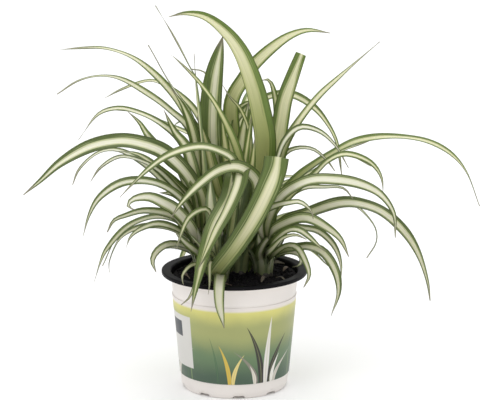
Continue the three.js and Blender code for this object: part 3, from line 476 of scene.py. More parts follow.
class LeafSettings(bpy.types.PropertyGroup):
    """Sizes and colours of the leaves."""
    thickness: length_property("Blade thickness", 0.0007, 0.0001, 0.002, "Thickness at the midrib")
    fold: share_property("Fold", 0.34, 1, "Rise of a blade's margins as a share of its half width")
    ripple: length_property("Ripple", 0.0005, 0, 0.003, "Height of the slow waves along the margins")
    section_points: count_property("Section points", 16, 8, 32, "Points round a blade's section")
    seed: IntProperty(name="Seed", description="Seed of the ripple and of each leaf's shade", default=7)
    green: colour_property("Green", "57623a", "Colour of a blade's margins")
    fresh_green: colour_property("Fresh green", "708a34", "Colour of a young blade's margins")
    deep_green: colour_property("Deep green", "2f381a", "Colour of the blade's edge and darkest lines")
    cream: colour_property("Cream", "efeee2", "Colour of the stripe")
    fresh_cream: colour_property("Fresh cream", "e6e19a", "Colour of a young blade's stripe")
    shaded: colour_property("Shaded stripe", "cfccba", "Colour of the stripe low on the plant")
    flank: colour_property("Stripe flank", "adb37e", "Colour of the stripe where it meets the green")
    young: colour_property("Young stripe", "9da362", "Colour of the stripe near a blade's foot")
    tip: colour_property("Dry tip", "7b7566", "Colour of a blade's dry tip and thin end")


class PotSettings(bpy.types.PropertyGroup):
    """Sizes and colours of the pot."""
    segments: count_property("Segments", 144, 36, 360, "Segments round the pot")
    notch_height: length_property("Foot notch", 0.0024, 0, 0.01, "Height of the notches in the foot")
    notch_share: share_property("Notch share", 0.3, 0.9, "Share of the foot ring that notches take")
    white: colour_property("Outside", "ece6e0", "Colour of the outer sheet")
    black: colour_property("Inside", "08070a", "Colour of the inner sheet and the rim")


class SleeveSettings(bpy.types.PropertyGroup):
    """Sizes and colours of the printed sleeve."""
    thickness: length_property("Thickness", 0.0004, 0.0001, 0.0008, "Thickness of the film")
    tufts: count_property("Tufts", 3, 1, 12, "Tufts of leaves in the print, round the whole pot")
    bare: colour_property("Bare band", "e4ddd8", "Colour of the unprinted top")
    yellow: colour_property("Yellow band", "d8d37c", "Colour of the print's upper edge")
    olive: colour_property("Olive", "a1a56b", "Colour of the print's middle")
    teal: colour_property("Teal", "667e5c", "Colour of the print's lower part")
    deep: colour_property("Deep green", "495e4d", "Colour of the print's lower edge")


class SoilSettings(bpy.types.PropertyGroup):
    """Sizes and colours of the soil."""
    crumb: length_property("Crumb", 0.0011, 0.0003, 0.004, "Radius of a usual crumb")
    density: FloatProperty(
        name="Density", description="Crumbs to a square metre", default=380000, min=0, max=2000000)
    seed: IntProperty(name="Seed", description="Seed of the crumbs' places and sizes", default=3)
    dark: colour_property("Dark", "171517", "Colour of the moist soil")
    light: colour_property("Light", "332c2d", "Colour of the drier crumbs")


class StageSettings(bpy.types.PropertyGroup):
    """Floor and light."""
    floor: colour_property("Floor", "fafafa", "Colour of the floor")
    floor_radius: length_property("Floor radius", 14, 1, 100, "Radius of the floor")
    sky: FloatProperty(
        name="Sky", description="Strength of the surroundings overhead", default=1.35, min=0, max=5)
    horizon: share_property("Horizon", 0.3, 1, "Strength at the horizon as a share of that overhead")


# Node helpers

class Value:
    """A node's output. Sums, products and powers of it are nodes of the same tree."""

    def __init__(self, nodes, socket):
        self.nodes = nodes
        self.socket = socket

    def __add__(self, other):
        return self.nodes.math("ADD", self, other)

    def __sub__(self, other):
        return self.nodes.math("SUBTRACT", self, other)

    def __rsub__(self, other):
        return self.nodes.math("SUBTRACT", other, self)

    def __mul__(self, other):
        return self.nodes.math("MULTIPLY", self, other)

    def __truediv__(self, other):
        return self.nodes.math("DIVIDE", self, other)

    def __pow__(self, other):
        return self.nodes.math("POWER", self, other)

    def __abs__(self):
        return self.nodes.math("ABSOLUTE", self)

    def step(self, low, high, to_low=0.0, to_high=1.0):
        """A smooth step from to_low at low to to_high at high."""
        values = {"Value": self, 1: low, 2: high, 3: to_low, 4: to_high}
        return self.nodes.take("ShaderNodeMapRange", values, interpolation_type="SMOOTHSTEP")


class Nodes:
    """Adds nodes to a tree. An input takes a plain value or another node's output."""

    def __init__(self, tree):
        self.tree = tree

    def add(self, kind, inputs=(), **settings):
        node = self.tree.nodes.new(kind)
        node.location.x = 190 * (len(self.tree.nodes) % 24)
        node.location.y = -230 * (len(self.tree.nodes) // 24)
        for name, value in settings.items():
            setattr(node, name, value)
        for key, value in dict(inputs).items():
            self.feed(node.inputs[key], value)
        return node

    def take(self, kind, inputs=(), output=0, **settings):
        """Adds a node and gives one of its outputs."""
        return Value(self, self.add(kind, inputs, **settings).outputs[output])

    def feed(self, socket, value):
        if isinstance(value, Value):
            self.tree.links.new(value.socket, socket)
        else:
            socket.default_value = value

    def outputs(self, node):
        """A node's outputs by their names."""
        return {socket.name: Value(self, socket) for socket in node.outputs}

    def math(self, operation, *values, clamp=False):
        return self.take("ShaderNodeMath", enumerate(values), operation=operation, use_clamp=clamp)

    def vector(self, operation, *values, output="Vector"):
        return self.take("ShaderNodeVectorMath", enumerate(values), output, operation=operation)

    def scaled(self, vector, factor):
        return self.take("ShaderNodeVectorMath", {0: vector, "Scale": factor}, operation="SCALE")

    def axis(self, vector, name):
        return self.take("ShaderNodeSeparateXYZ", {0: vector}, name)

    def combine(self, *values):
        return self.take("ShaderNodeCombineXYZ", enumerate(values))

    def noise(self, vector, scale, detail=2.0, rough=0.5):
        values = {"Vector": vector, "Scale": scale, "Detail": detail, "Roughness": rough}
        return self.take("ShaderNodeTexNoise", values, "Fac")

    def mix(self, factor, first, second):
        """A mix of two colours. 0, 6 and 7 are the mix node's factor and colour inputs."""
        values = {0: factor, 6: self.colour(first), 7: self.colour(second)}
        return self.take("ShaderNodeMix", values, 2, data_type="RGBA")

    def over(self, colour, paint, mask, share):
        """The colour with a paint over it where the mask is high, up to that share."""
        return self.mix(mask * share, colour, paint)

    def colour(self, value):
        return value if isinstance(value, Value) else (*value[:3], 1.0)

    def named(self, name):
        """A number that a piece's mesh keeps under that name, for a material."""
        return self.take("ShaderNodeAttribute", output="Fac", attribute_name=name)

    def field(self, name, kind="FLOAT"):
        """A value that the mesh keeps under that name, for a geometry tree."""
        return self.take("GeometryNodeInputNamedAttribute", {"Name": name}, "Attribute", data_type=kind)

    def object_place(self):
        return self.take("ShaderNodeTexCoord", output="Object")

    def group(self, tree, **values):
        """Places a group in a material."""
        group = self.add("ShaderNodeGroup", values, node_tree=tree)
        return self.outputs(group)


SOCKET_KINDS = {float: "Float", int: "Int"}


def new_tree(kind, name, inputs, outputs):
    """A tree with named sockets, as its nodes, its inputs' values and its end's sockets. inputs
    and outputs give each socket's default value, or the kind of one that has none."""
    tree = bpy.data.node_groups.new(name, kind)
    for direction, sockets in (("INPUT", inputs), ("OUTPUT", outputs)):
        for label, value in sockets.items():
            socket_kind = SOCKET_KINDS.get(type(value), value)
            socket = tree.interface.new_socket(
                label, in_out=direction, socket_type="NodeSocket" + socket_kind)
            if socket_kind != value:
                socket.default_value = value
    nodes = Nodes(tree)
    return nodes, nodes.outputs(nodes.add("NodeGroupInput")), nodes.add("NodeGroupOutput").inputs


# Shader groups

def lines_group():
    """Fine lines along a blade, at their real width, and broad blotches."""
    nodes, given, end = new_tree(
        "ShaderNodeTree", "Blade lines",
        {"Across": 0.0, "Along": 0.0, "Shade": 0.0, "Lines to a metre": 1500.0},
        {"Lines": "Float", "Blotches": "Float"})

    def place(across, along, shade):
        return nodes.combine(given["Across"] * across, given["Along"] * along, given["Shade"] * shade)

    lines = nodes.noise(place(given["Lines to a metre"], 9.0, 61.0), 1.0, 3.0, 0.6)
    nodes.feed(end["Lines"], lines.step(0.32, 0.68))
    nodes.feed(end["Blotches"], nodes.noise(place(160.0, 26.0, 37.0), 1.0))
    return nodes.tree


def wear_group():
    """Faint dust and smudges, as a mask and as roughness, for the pot and its sleeve."""
    nodes, given, end = new_tree(
        "ShaderNodeTree", "Dust and smudges",
        {"Place": "Vector", "Roughness": 0.4, "Spread": 0.1}, {"Dust": "Float", "Roughness": "Float"})
    fine = nodes.noise(given["Place"], 900.0, 4.0, 0.7)
    broad = nodes.noise(given["Place"], 38.0, 3.0)
    nodes.feed(end["Dust"], fine.step(0.6, 0.8) * broad.step(0.4, 0.7))
    change = (broad - 0.5) * given["Spread"]
    nodes.feed(end["Roughness"], nodes.math("ADD", given["Roughness"], change, clamp=True))
    return nodes.tree


def leaf_print_group():
    """One printed leaf that bends as it rises from its root: masks of the leaf and its midrib."""
    nodes, given, end = new_tree(
        "ShaderNodeTree", "Printed leaf",
        {"Across": 0.0, "Up": 0.0, "Root": 0.0, "Bend": 0.2, "Height": 0.5, "Width": 0.05},
        {"Mask": "Float", "Midrib": "Float"})
    risen = given["Up"] / given["Height"]
    lean = given["Bend"] * nodes.math("MAXIMUM", risen, 0.0) ** 2.0
    aside = abs(given["Across"] - (given["Root"] + lean))
    left = nodes.math("MAXIMUM", 1.0 - risen, 0.0)
    room = given["Width"] * (left ** 0.75 * risen.step(-0.5, 0.5))
    nodes.feed(end["Mask"], (room - aside).step(0.0, 0.003) * left.step(0.0, 0.02))
    nodes.feed(end["Midrib"], (room * 0.14 - aside).step(-0.001, 0.001))
    return nodes.tree


# Materials

def new_material(name, **finish):
    """A material, its nodes and its shader's inputs, set to the finish's plain values."""
    material = bpy.data.materials.new(name)
    material.use_nodes = True
    shader = next(n for n in material.node_tree.nodes if n.type == "BSDF_PRINCIPLED")
    for socket, value in finish.items():
        shader.inputs[socket.replace("_", " ")].default_value = value
    return material, Nodes(material.node_tree), shader.inputs


def paint(nodes, shader, colour, relief, rough=None):
    """Feeds a shader its colour, its relief as height, strength and depth, and its roughness."""
    nodes.feed(shader["Base Color"], colour)
    bump = zip(("Height", "Strength", "Distance"), relief)
    nodes.feed(shader["Normal"], nodes.take("ShaderNodeBump", bump))
    if rough is not None:
        nodes.feed(shader["Roughness"], rough)


def blade_lines(nodes, group):
    """A blade's lines and blotches, laid by what its mesh keeps."""
    across = nodes.named("across") * nodes.named("half")
    drawn = nodes.group(group, Across=across, Along=nodes.named("along"), Shade=nodes.named("shade"))
    return drawn["Lines"], drawn["Blotches"]


def leaf_material(group, settings):
    """A waxy blade: green margins, a pale stripe down the middle and fine lines along it."""
    material, nodes, shader = new_material(
        "Striped leaf", Specular_IOR_Level=0.35, Subsurface_Weight=0.12,
        Subsurface_Radius=(0.0016, 0.002, 0.0008), Subsurface_Scale=1.0)
    lines, blotches = blade_lines(nodes, group)
    across = nodes.named("across")
    share = nodes.named("share")
    fresh = nodes.named("fresh")

    # The stripe's edge wanders a little along the blade, and the stripe narrows to the tip
    edge = (nodes.named("stripe") + (blotches - 0.5) * 0.16) * share.step(0.8, 1.0, 1.0, 0.55)
    beyond = abs(across - nodes.named("shift")) - edge
    margin = beyond.step(-0.04, 0.07)
    flank = beyond.step(-0.3, 0.0, 0.0, 0.8)
    pale_line = abs(beyond - 0.17).step(0.0, 0.06, 1.0, 0.0) * blotches.step(0.45, 0.6)
    green_line = abs(beyond + 0.16).step(0.0, 0.05, 1.0, 0.0) * blotches.step(0.4, 0.55, 1.0, 0.0)

    # The stripe is shaded low on the plant, yellow on young leaves and green near a blade's foot
    height = nodes.axis(nodes.object_place(), "Z")
    juicy = fresh * height.step(0.2, 0.3, 0.8, 0.5)
    old = (share - fresh * 0.45).step(0.0, 0.35) * (1.0 - fresh * 0.15)
    cream = nodes.mix(height.step(0.12, 0.2), settings.shaded, settings.cream)
    cream = nodes.mix(juicy, cream, settings.fresh_cream)
    cream = nodes.mix(old, settings.young, cream)
    cream = nodes.over(cream, STRIPE_LINES, lines, 0.24)
    cream = nodes.mix(flank, cream, nodes.mix(fresh, settings.flank, settings.young))

    green = nodes.over(settings.green, settings.fresh_green, fresh, 0.8)
    green = nodes.over(green, settings.deep_green, lines, 0.5)
    green = nodes.over(green, GREEN_SHADE, nodes.named("shade"), 0.4)
    green = nodes.over(green, settings.deep_green, abs(across).step(0.78, 0.98), 0.7)
    colour = nodes.mix(margin, cream, green)
    colour = nodes.over(colour, cream, pale_line, 0.6)
    colour = nodes.over(colour, settings.green, green_line, 0.5)

    # Tips are dry unless they are cut, and so are the ends of thin blades
    dry = (share + blotches * 0.04).step(0.95, 1.01) * (1.0 - nodes.named("cut"))
    thin = share.step(0.5, 0.75) * nodes.named("half").step(0.0004, 0.0019, 0.7, 0.0)
    colour = nodes.mix(nodes.math("MAXIMUM", dry, thin), colour, settings.tip)
    # Painted shade: each blade is mixed towards the deep green near its foot, most at the root and gone 55
    # mm up, for the shade among the crowded leaf bases
    foot = nodes.named("along").step(0.004, 0.055, 0.6, 0.0)
    colour = nodes.mix(foot, colour, settings.deep_green)
    colour = nodes.mix(nodes.named("under").step(0.0, 0.3, 0.0, 0.2), colour, UNDERSIDE)
    paint(nodes, shader, colour, (lines, 0.5, 0.00012), lines * 0.12 + 0.36)
    return material


def crown_material():
    """Pale sheaths at the leaves' feet."""
    material, nodes, shader = new_material("Leaf sheath", Roughness=0.5)
    place = nodes.object_place()
    lines = nodes.noise(nodes.vector("MULTIPLY", place, (1.0, 1.0, 0.12)), 900.0, 3.0)
    colour = nodes.mix(lines.step(0.4, 0.65), SHEATH_PALE, SHEATH_GREEN)
    low = nodes.axis(place, "Z").step(SOIL_EDGE + 0.002, SOIL_EDGE + 0.012, 1.0, 0.2)
    paint(nodes, shader, nodes.mix(low, colour, SHEATH_FOOT), (lines, 0.6, 0.0004))
    return material


def sheet_material(name, colour, dull, wear, rough, specular, place_scale):
    """One side of the pot's moulded sheet, with faint drawing marks round it and dust."""
    material, nodes, shader = new_material(name, Specular_IOR_Level=specular)
    place = nodes.object_place()
    worn = nodes.group(wear, Place=place, Roughness=rough, Spread=0.25)
    drawn = nodes.noise(nodes.vector("MULTIPLY", place, place_scale), 60.0, 3.0)
    body = nodes.over(nodes.over(colour, dull, drawn, 0.35), dull, worn["Dust"], 0.1)
    paint(nodes, shader, body, (drawn, 0.25, 0.0003), worn["Roughness"])
    return material


def soil_material(settings):
    """Dark, moist, matt potting soil."""
    material, nodes, shader = new_material("Potting soil", Roughness=0.95, Specular_IOR_Level=0.2)
    place = nodes.object_place()
    grain = nodes.noise(place, 520.0, 5.0, 0.7)
    dry = grain.step(0.5, 0.75) * nodes.noise(place, 90.0, 3.0).step(0.4, 0.65)
    paint(nodes, shader, nodes.mix(dry, settings.dark, settings.light), (grain, 0.9, 0.0006))
    return material


def scrap_material(group):
    """Dead leaf scraps, dull brown with darker lines."""
    material, nodes, shader = new_material("Dead leaf", Roughness=0.75)
    lines, blotches = blade_lines(nodes, group)
    colour = nodes.mix(lines, SCRAP_PALE, SCRAP_LINES)
    colour = nodes.mix(blotches.step(0.4, 0.7), colour, SCRAP_BLOTCH)
    paint(nodes, shader, colour, (lines, 0.6, 0.0002))
    return material


# The print's bands from its lower edge: colour, and where it comes in as shares of the height
PRINT_BANDS = [("teal", 0.06, 0.36), ("olive", 0.32, 0.66), ("yellow", 0.72, 0.97)]
BARE_BAND = (0.925, 0.965)

# Printed leaves in a tuft: root, bend, height, half width, colour and cover. Across, they are
# measured in cells, and upwards in shares of the sleeve's height.
TUFT_SHIFT = 0.08
PRINTED_LEAVES = [
    (-0.38, -0.07, 0.62, 0.016, "3f6348", 0.6),
    (0.30, 0.09, 0.66, 0.016, "3f6348", 0.6),
    (0.35, -0.04, 0.50, 0.014, "7f9660", 0.6),
    (-0.28, -0.10, 0.56, 0.028, "d9b84c", 0.9),
    (-0.25, 0.12, 0.46, 0.028, "ead58a", 0.9),
    (-0.05, -0.20, 0.44, 0.034, "8a827a", 0.9),
    (0.13, 0.25, 0.40, 0.034, "cfc9c0", 0.95),
    (0.00, -0.12, 0.66, 0.040, "35312f", 0.95),
    (0.08, 0.17, 0.60, 0.040, "2f2b2b", 0.95),
    (0.04, 0.03, 0.80, 0.038, "e4e0da", 0.95),
    (0.10, 0.07, 0.32, 0.026, "efece6", 0.95),
    (-0.06, -0.06, 0.28, 0.026, "dcd6cc", 0.95),
]

# The bare panel and its block: colour, middle and half width as shares of a turn, and lower and
# upper edge as shares of the sleeve's height
PANELS = [
    (PANEL_WHITE, 0.3167, 0.055, 0.144, 0.81),
    (PANEL_DARK, 0.3056, 0.028, 0.53, 0.73),
]


def sleeve_material(settings, wear, leaf):
    """A printed film: a pale top, then yellow to deep green, with leaves from its lower edge."""
    material, nodes, shader = new_material("Printed film", Specular_IOR_Level=0.4)
    place = nodes.object_place()
    risen = (nodes.axis(place, "Z") - SLEEVE_LOW) / (SLEEVE_HIGH - SLEEVE_LOW)
    tone = risen + (nodes.noise(place, 30.0, 3.0) - 0.5) * 0.16
    colour = settings.deep
    for name, low, high in PRINT_BANDS:
        colour = nodes.mix(tone.step(low, high), colour, getattr(settings, name))
    colour = nodes.mix(risen.step(*BARE_BAND), colour, settings.bare)

    # Tufts: the way round is split into equal cells, and each has leaves of its own
    turn = nodes.math("ARCTAN2", nodes.axis(place, "X"), nodes.axis(place, "Y") * -1.0)
    turn = turn / math.tau + 0.5
    cells = (turn - TUFT_SHIFT) * float(settings.tufts)
    across = nodes.math("FRACT", cells) - 0.5
    cell = nodes.math("FLOOR", cells)
    for number, (root, bend, height, width, code, cover) in enumerate(PRINTED_LEAVES):
        spot = nodes.combine(cell, float(number))
        chance = nodes.take("ShaderNodeTexWhiteNoise", {"Vector": spot}, "Value")
        drawn = nodes.group(leaf, Across=across, Up=risen, Root=root, Bend=(chance * 0.4 + 0.8) * bend,
                            Height=(chance * 0.3 + 0.85) * height, Width=width)
        ink = nodes.over(tint(code), settings.olive, drawn["Midrib"], 0.35)
        colour = nodes.over(colour, ink, drawn["Mask"], cover)

    for ink, middle, half_turn, low, high in PANELS:
        inside = abs(turn - middle).step(half_turn, half_turn + 0.002, 1.0, 0.0)
        inside = inside * risen.step(low, low + 0.01) * risen.step(high, high + 0.01, 1.0, 0.0)
        colour = nodes.mix(inside, colour, ink)
    worn = nodes.group(wear, Place=place, Roughness=0.38, Spread=0.2)
    paint(nodes, shader, nodes.over(colour, FILM_DUST, worn["Dust"], 0.2),
          (nodes.noise(place, 300.0), 0.1, 0.0001), worn["Roughness"])
    return material


# Mesh helpers

def placed(name, data):
    """A new object in the scene with that mesh, lamp or camera."""
    thing = bpy.data.objects.new(name, data)
    bpy.context.scene.collection.objects.link(thing)
    return thing


def new_piece(name, points, faces, materials=(), smooth=True):
    """A mesh in the scene, shaded smooth or flat."""
    mesh = bpy.data.meshes.new(name)
    mesh.from_pydata(points, [], faces)
    for material in materials:
        mesh.materials.append(material)
    mesh.polygons.foreach_set("use_smooth", [smooth] * len(mesh.polygons))
    return placed(name, mesh)


@contextmanager
def opened(mesh):
    """A mesh opened for changes, which are written back to it."""
    shape = bmesh.new()
    shape.from_mesh(mesh)
    yield shape
    shape.to_mesh(mesh)
    shape.free()


def point_out(piece):
    """Turns a closed piece's faces outwards."""
    with opened(piece.data) as shape:
        bmesh.ops.recalc_face_normals(shape, faces=shape.faces)
        if shape.calc_volume(signed=True) < 0:
            bmesh.ops.reverse_faces(shape, faces=shape.faces)


def sharpen(piece, degrees):
    """Keeps edges over that angle sharp on a smooth piece."""
    with opened(piece.data) as shape:
        for edge in shape.edges:
            edge.smooth = edge.calc_face_angle(0) < math.radians(degrees)


def bake_modifiers(piece):
    """Turns a piece into the plain mesh that its modifiers give, and removes them."""
    bpy.context.view_layer.update()
    graph = bpy.context.evaluated_depsgraph_get()
    mesh = bpy.data.meshes.new_from_object(
        piece.evaluated_get(graph), preserve_all_data_layers=True, depsgraph=graph)
    before = piece.data
    piece.modifiers.clear()
    piece.data = mesh
    bpy.data.meshes.remove(before)
    mesh.name = piece.name


def finish_piece(piece, node):
    """Lets a piece ride on the plant's one body in place of one of its solids."""
    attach(piece, BODY)
    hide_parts(node)


def on_ring(radius, angle, height, centre=(0, 0)):
    """A point of a level ring."""
    return (centre[0] + radius * math.cos(angle), centre[1] + radius * math.sin(angle), height)


def around(segments, place):
    """Points of a ring, each given by its angle."""
    return [place(math.tau * at / segments) for at in range(segments)]


def band(rings, segments, closed=False):
    """Faces between rings that follow each other, and from the last to the first if closed."""
    faces = []
    for ring in range(rings if closed else rings - 1):
        low = ring * segments
        high = (ring + 1) % rings * segments
        for at in range(segments):
            after = (at + 1) % segments
            faces.append((low + at, low + after, high + after, high + at))
    return faces


def ends(rings, segments):
    """The faces that close the first and the last ring."""
    last = (rings - 1) * segments
    return [tuple(range(segments)), tuple(range(last, last + segments))]


def wall_radius(height):
    """Outer radius of the pot's wall."""
    return WALL_FOOT_RADIUS + WALL_SLOPE * height


# Pot

def arc(centre, radius, start, stop, steps):
    """Points on an arc of a profile, from one angle in degrees to the other."""
    angles = [math.radians(start + (stop - start) * at / steps) for at in range(steps + 1)]
    return [(centre[0] + radius * math.cos(a), centre[1] + radius * math.sin(a)) for a in angles]


def outside_profile():
    """The white outside, from the middle of the underside to the lip."""
    neck = RIM_HEIGHT - FLANGE_DROP
    return [
        (PAD_RADIUS, 0),
        (PAD_RADIUS + PAD_SLOPE, FLOOR_HEIGHT),
        (FOOT_INNER_RADIUS - FOOT_SLOPE, FLOOR_HEIGHT),
        *arc((FOOT_INNER_RADIUS + INNER_ROUND, INNER_ROUND), INNER_ROUND, 180, 270, 3),
        (NOTCH_INNER_RADIUS - NOTCH_EDGE, 0),
        (NOTCH_INNER_RADIUS, 0),
        *arc((FOOT_ROUND_RADIUS, FOOT_ROUND), FOOT_ROUND, 270, 350, 5),
        *[(wall_radius(height), height) for height in (*FOOT_ROWS, SLEEVE_LOW, SLEEVE_HIGH, neck)],
        *[(wall_radius(neck) + out, neck + up) for out, up in FLANGE_CURVE],
        (RIM_RADIUS - LIP_TUCK[0], RIM_HEIGHT - RIM_LIP - LIP_TUCK[1]),
    ]


def inside_profile():
    """The black inside, from the lip to the middle of the floor."""
    lip = RIM_RADIUS - LIP_ROUND
    throat = wall_radius(RIM_HEIGHT) + WALL
    return [
        *arc((lip, RIM_HEIGHT - RIM_LIP + 0.0004), LIP_ROUND, -60, 0, 3),
        *arc((lip, RIM_HEIGHT - LIP_ROUND), LIP_ROUND, 0, 90, 5),
        (RIM_RADIUS - RIM_DIP[0], RIM_HEIGHT - RIM_DIP[1]),
        *arc((throat, RIM_HEIGHT - THROAT_DROP), THROAT_ROUND, 90, 180, 5),
        (wall_radius(INSIDE_FOOT) - WALL, INSIDE_FOOT),
        (wall_radius(FLOOR_TOP) - WALL - FLOOR_INSET, FLOOR_TOP),
        (PAD_RADIUS, FLOOR_TOP),
    ]


def foot_notch(angle, settings):
    """How far the foot ring is raised at an angle: nothing at a foot, fully in a notch."""
    cell = ((angle - FOOT_TURN) * FOOT_COUNT / math.tau) % 1
    beside = abs(cell - 0.5)
    rise = (settings.notch_share / 2 - beside) / (settings.notch_share * NOTCH_RAMP) + 0.5
    return settings.notch_height * min(1, max(0, rise))


def cut_drains(piece):
    """Round drain holes through the floor."""
    mesh = bpy.data.meshes.new("drain_cutter")
    with opened(mesh) as shape:
        for hole in range(DRAIN_COUNT):
            made = bmesh.ops.create_cone(
                shape, cap_ends=True, segments=DRAIN_SIDES, radius1=DRAIN_RADIUS,
                radius2=DRAIN_RADIUS, depth=DRAIN_DEPTH)
            centre = on_ring(DRAIN_CIRCLE, math.tau * hole / DRAIN_COUNT, FLOOR_HEIGHT)
            bmesh.ops.translate(shape, verts=made["verts"], vec=centre)
    cutter = placed("drain_cutter", mesh)
    modifier = piece.modifiers.new("Drains", "BOOLEAN")
    modifier.object = cutter
    modifier.solver = "EXACT"
    bake_modifiers(piece)
    bpy.data.objects.remove(cutter)


def make_pot(settings, wear):
    """A closed shell turned round Z, white outside and black inside."""
    outside = outside_profile()
    rings = outside + inside_profile()
    segments = settings.segments

    def place(radius, height, angle):
        if radius >= NOTCH_INNER_RADIUS and height < settings.notch_height:
            height = max(height, foot_notch(angle, settings))
        return on_ring(radius, angle, height)

    points = []
    for ring in rings:
        points += around(segments, partial(place, *ring))
    white = sheet_material("White sheet", settings.white, DULL_WHITE, wear, 0.4, 0.3, (1.0, 1.0, 0.25))
    black = sheet_material("Black sheet", settings.black, DULL_BLACK, wear, 0.5, 0.1, (0.3, 0.3, 1.0))
    faces = band(len(rings), segments) + ends(len(rings), segments)
    piece = new_piece("pot_shell", points, faces, [white, black])
    for face in piece.data.polygons[len(outside) * segments:(len(rings) - 1) * segments]:
        face.material_index = 1
    point_out(piece)
    cut_drains(piece)
    finish_piece(piece, "pot")


# Sleeve

def film_place(height, thickness, angle):
    """A point on the film's outer side, which is thicker where its ends lap at the back."""
    off_seam = abs(angle - SEAM_AT) * wall_radius(height)
    lap = 0.6 * min(1, max(0, 2 * (1 - off_seam / SEAM_HALF)))
    return on_ring(wall_radius(height) + GAP / 2 + thickness * (1 + lap), angle, height)


def make_sleeve(settings, wear):
    """A film wrapped round the wall: up its outer side and down its inner one."""
    points = []
    for height in SLEEVE_ROWS:
        points += around(SLEEVE_SEGMENTS, partial(film_place, height, settings.thickness))
    for height in reversed(SLEEVE_ROWS):
        points += around(SLEEVE_SEGMENTS, partial(film_place, height, 0))
    faces = band(2 * len(SLEEVE_ROWS), SLEEVE_SEGMENTS, closed=True)
    material = sleeve_material(settings, wear, leaf_print_group())
    piece = new_piece("sleeve_film", points, faces, [material])
    point_out(piece)
    sharpen(piece, 40)
    finish_piece(piece, "label_sleeve")


# Geometry node helpers

def end_tree(nodes, end, geometry, material, smooth=True):
    """Ends a tree: instances made real, shaded smooth or flat, and with their material."""
    geometry = nodes.take("GeometryNodeRealizeInstances", {0: geometry})
    geometry = nodes.take("GeometryNodeSetShadeSmooth", {0: geometry, "Shade Smooth": smooth})
    geometry = nodes.take("GeometryNodeSetMaterial", {0: geometry, "Material": material})
    nodes.feed(end["Geometry"], geometry)


def noted(nodes, geometry, value, kind):
    """Notes a value on geometry that goes on to other nodes: the geometry and the value."""
    node = nodes.add("GeometryNodeCaptureAttribute", {"Geometry": geometry}, domain="POINT")
    node.capture_items.new(kind, "Value")
    nodes.feed(node.inputs["Value"], value)
    outputs = nodes.outputs(node)
    return outputs["Geometry"], outputs["Value"]


def use_tree(piece, tree, **values):
    """Gives a piece the tree as a modifier, sets its inputs, and bakes it to a plain mesh."""
    modifier = piece.modifiers.new(tree.name, "NODES")
    modifier.node_group = tree
    for item in tree.interface.items_tree:
        key = item.name.lower().replace(" ", "_")
        if item.in_out == "INPUT" and key in values:
            modifier[item.identifier] = values.pop(key)
    if values:
        raise ValueError(f"{tree.name} has no input named {sorted(values)}")
    bake_modifiers(piece)


# Soil

def soil_top(radius, angle):
    """Height of the soil's lumpy top."""
    inward = 1 - radius / (wall_radius(SOIL_EDGE) - WALL)
    mm = radius / MM
    lumps = (math.sin(3 * angle + mm / 7) + 0.7 * math.sin(5 * angle - mm / 4)
             + 0.6 * math.cos(mm / 3 + 2 * angle))
    return SOIL_EDGE + SOIL_MOUND * inward + SOIL_LUMP * lumps * min(1, mm / 8)


def crumb_tree():
    """Crumbs of several sizes strewn over the soil's top, each pushed out of round."""
    nodes, given, end = new_tree("GeometryNodeTree", "Soil crumbs", {
        "Geometry": "Geometry", "Crumb": 0.0011, "Density": 300000.0, "Reach": 0.048, "Seed": 3,
        "Material": "Material"}, {"Geometry": "Geometry"})
    where = nodes.take("GeometryNodeInputPosition")
    out = nodes.vector("LENGTH", nodes.vector("MULTIPLY", where, (1.0, 1.0, 0.0)), output="Value")
    level = nodes.math("GREATER_THAN", nodes.axis(nodes.take("GeometryNodeInputNormal"), "Z"), 0.5)
    spread = nodes.take("GeometryNodeDistributePointsOnFaces", {
        "Mesh": given["Geometry"], "Selection": level * nodes.math("LESS_THAN", out, given["Reach"]),
        "Density": given["Density"], "Seed": given["Seed"]}, "Points")
    turn = nodes.take("FunctionNodeRandomValue", {
        0: (0.0, 0.0, 0.0), 1: (math.tau, math.tau, math.tau), "Seed": given["Seed"]},
        data_type="FLOAT_VECTOR")
    chance = nodes.take("FunctionNodeRandomValue", {2: 0.0, 3: 1.0, "Seed": given["Seed"]}, 1,
                        data_type="FLOAT")
    size = chance ** 3.0 * 1.5 + 0.45
    lump = nodes.take("GeometryNodeMeshIcoSphere", {"Radius": given["Crumb"], "Subdivisions": 1})
    crumbs = nodes.take("GeometryNodeInstanceOnPoints", {
        "Points": spread, "Instance": lump, "Rotation": turn,
        "Scale": nodes.combine(size, size * CRUMB_DEEP, size * CRUMB_TALL)})
    real = nodes.take("GeometryNodeRealizeInstances", {0: crumbs})
    push = nodes.take("ShaderNodeTexNoise", {"Vector": where, "Scale": CRUMB_GRAIN}, "Color")
    push = nodes.scaled(nodes.vector("SUBTRACT", push, (0.5, 0.5, 0.5)), given["Crumb"] * CRUMB_PUSH)
    rough = nodes.take("GeometryNodeSetPosition", {0: real, "Offset": push})
    end_tree(nodes, end, rough, given["Material"], smooth=False)
    return nodes.tree


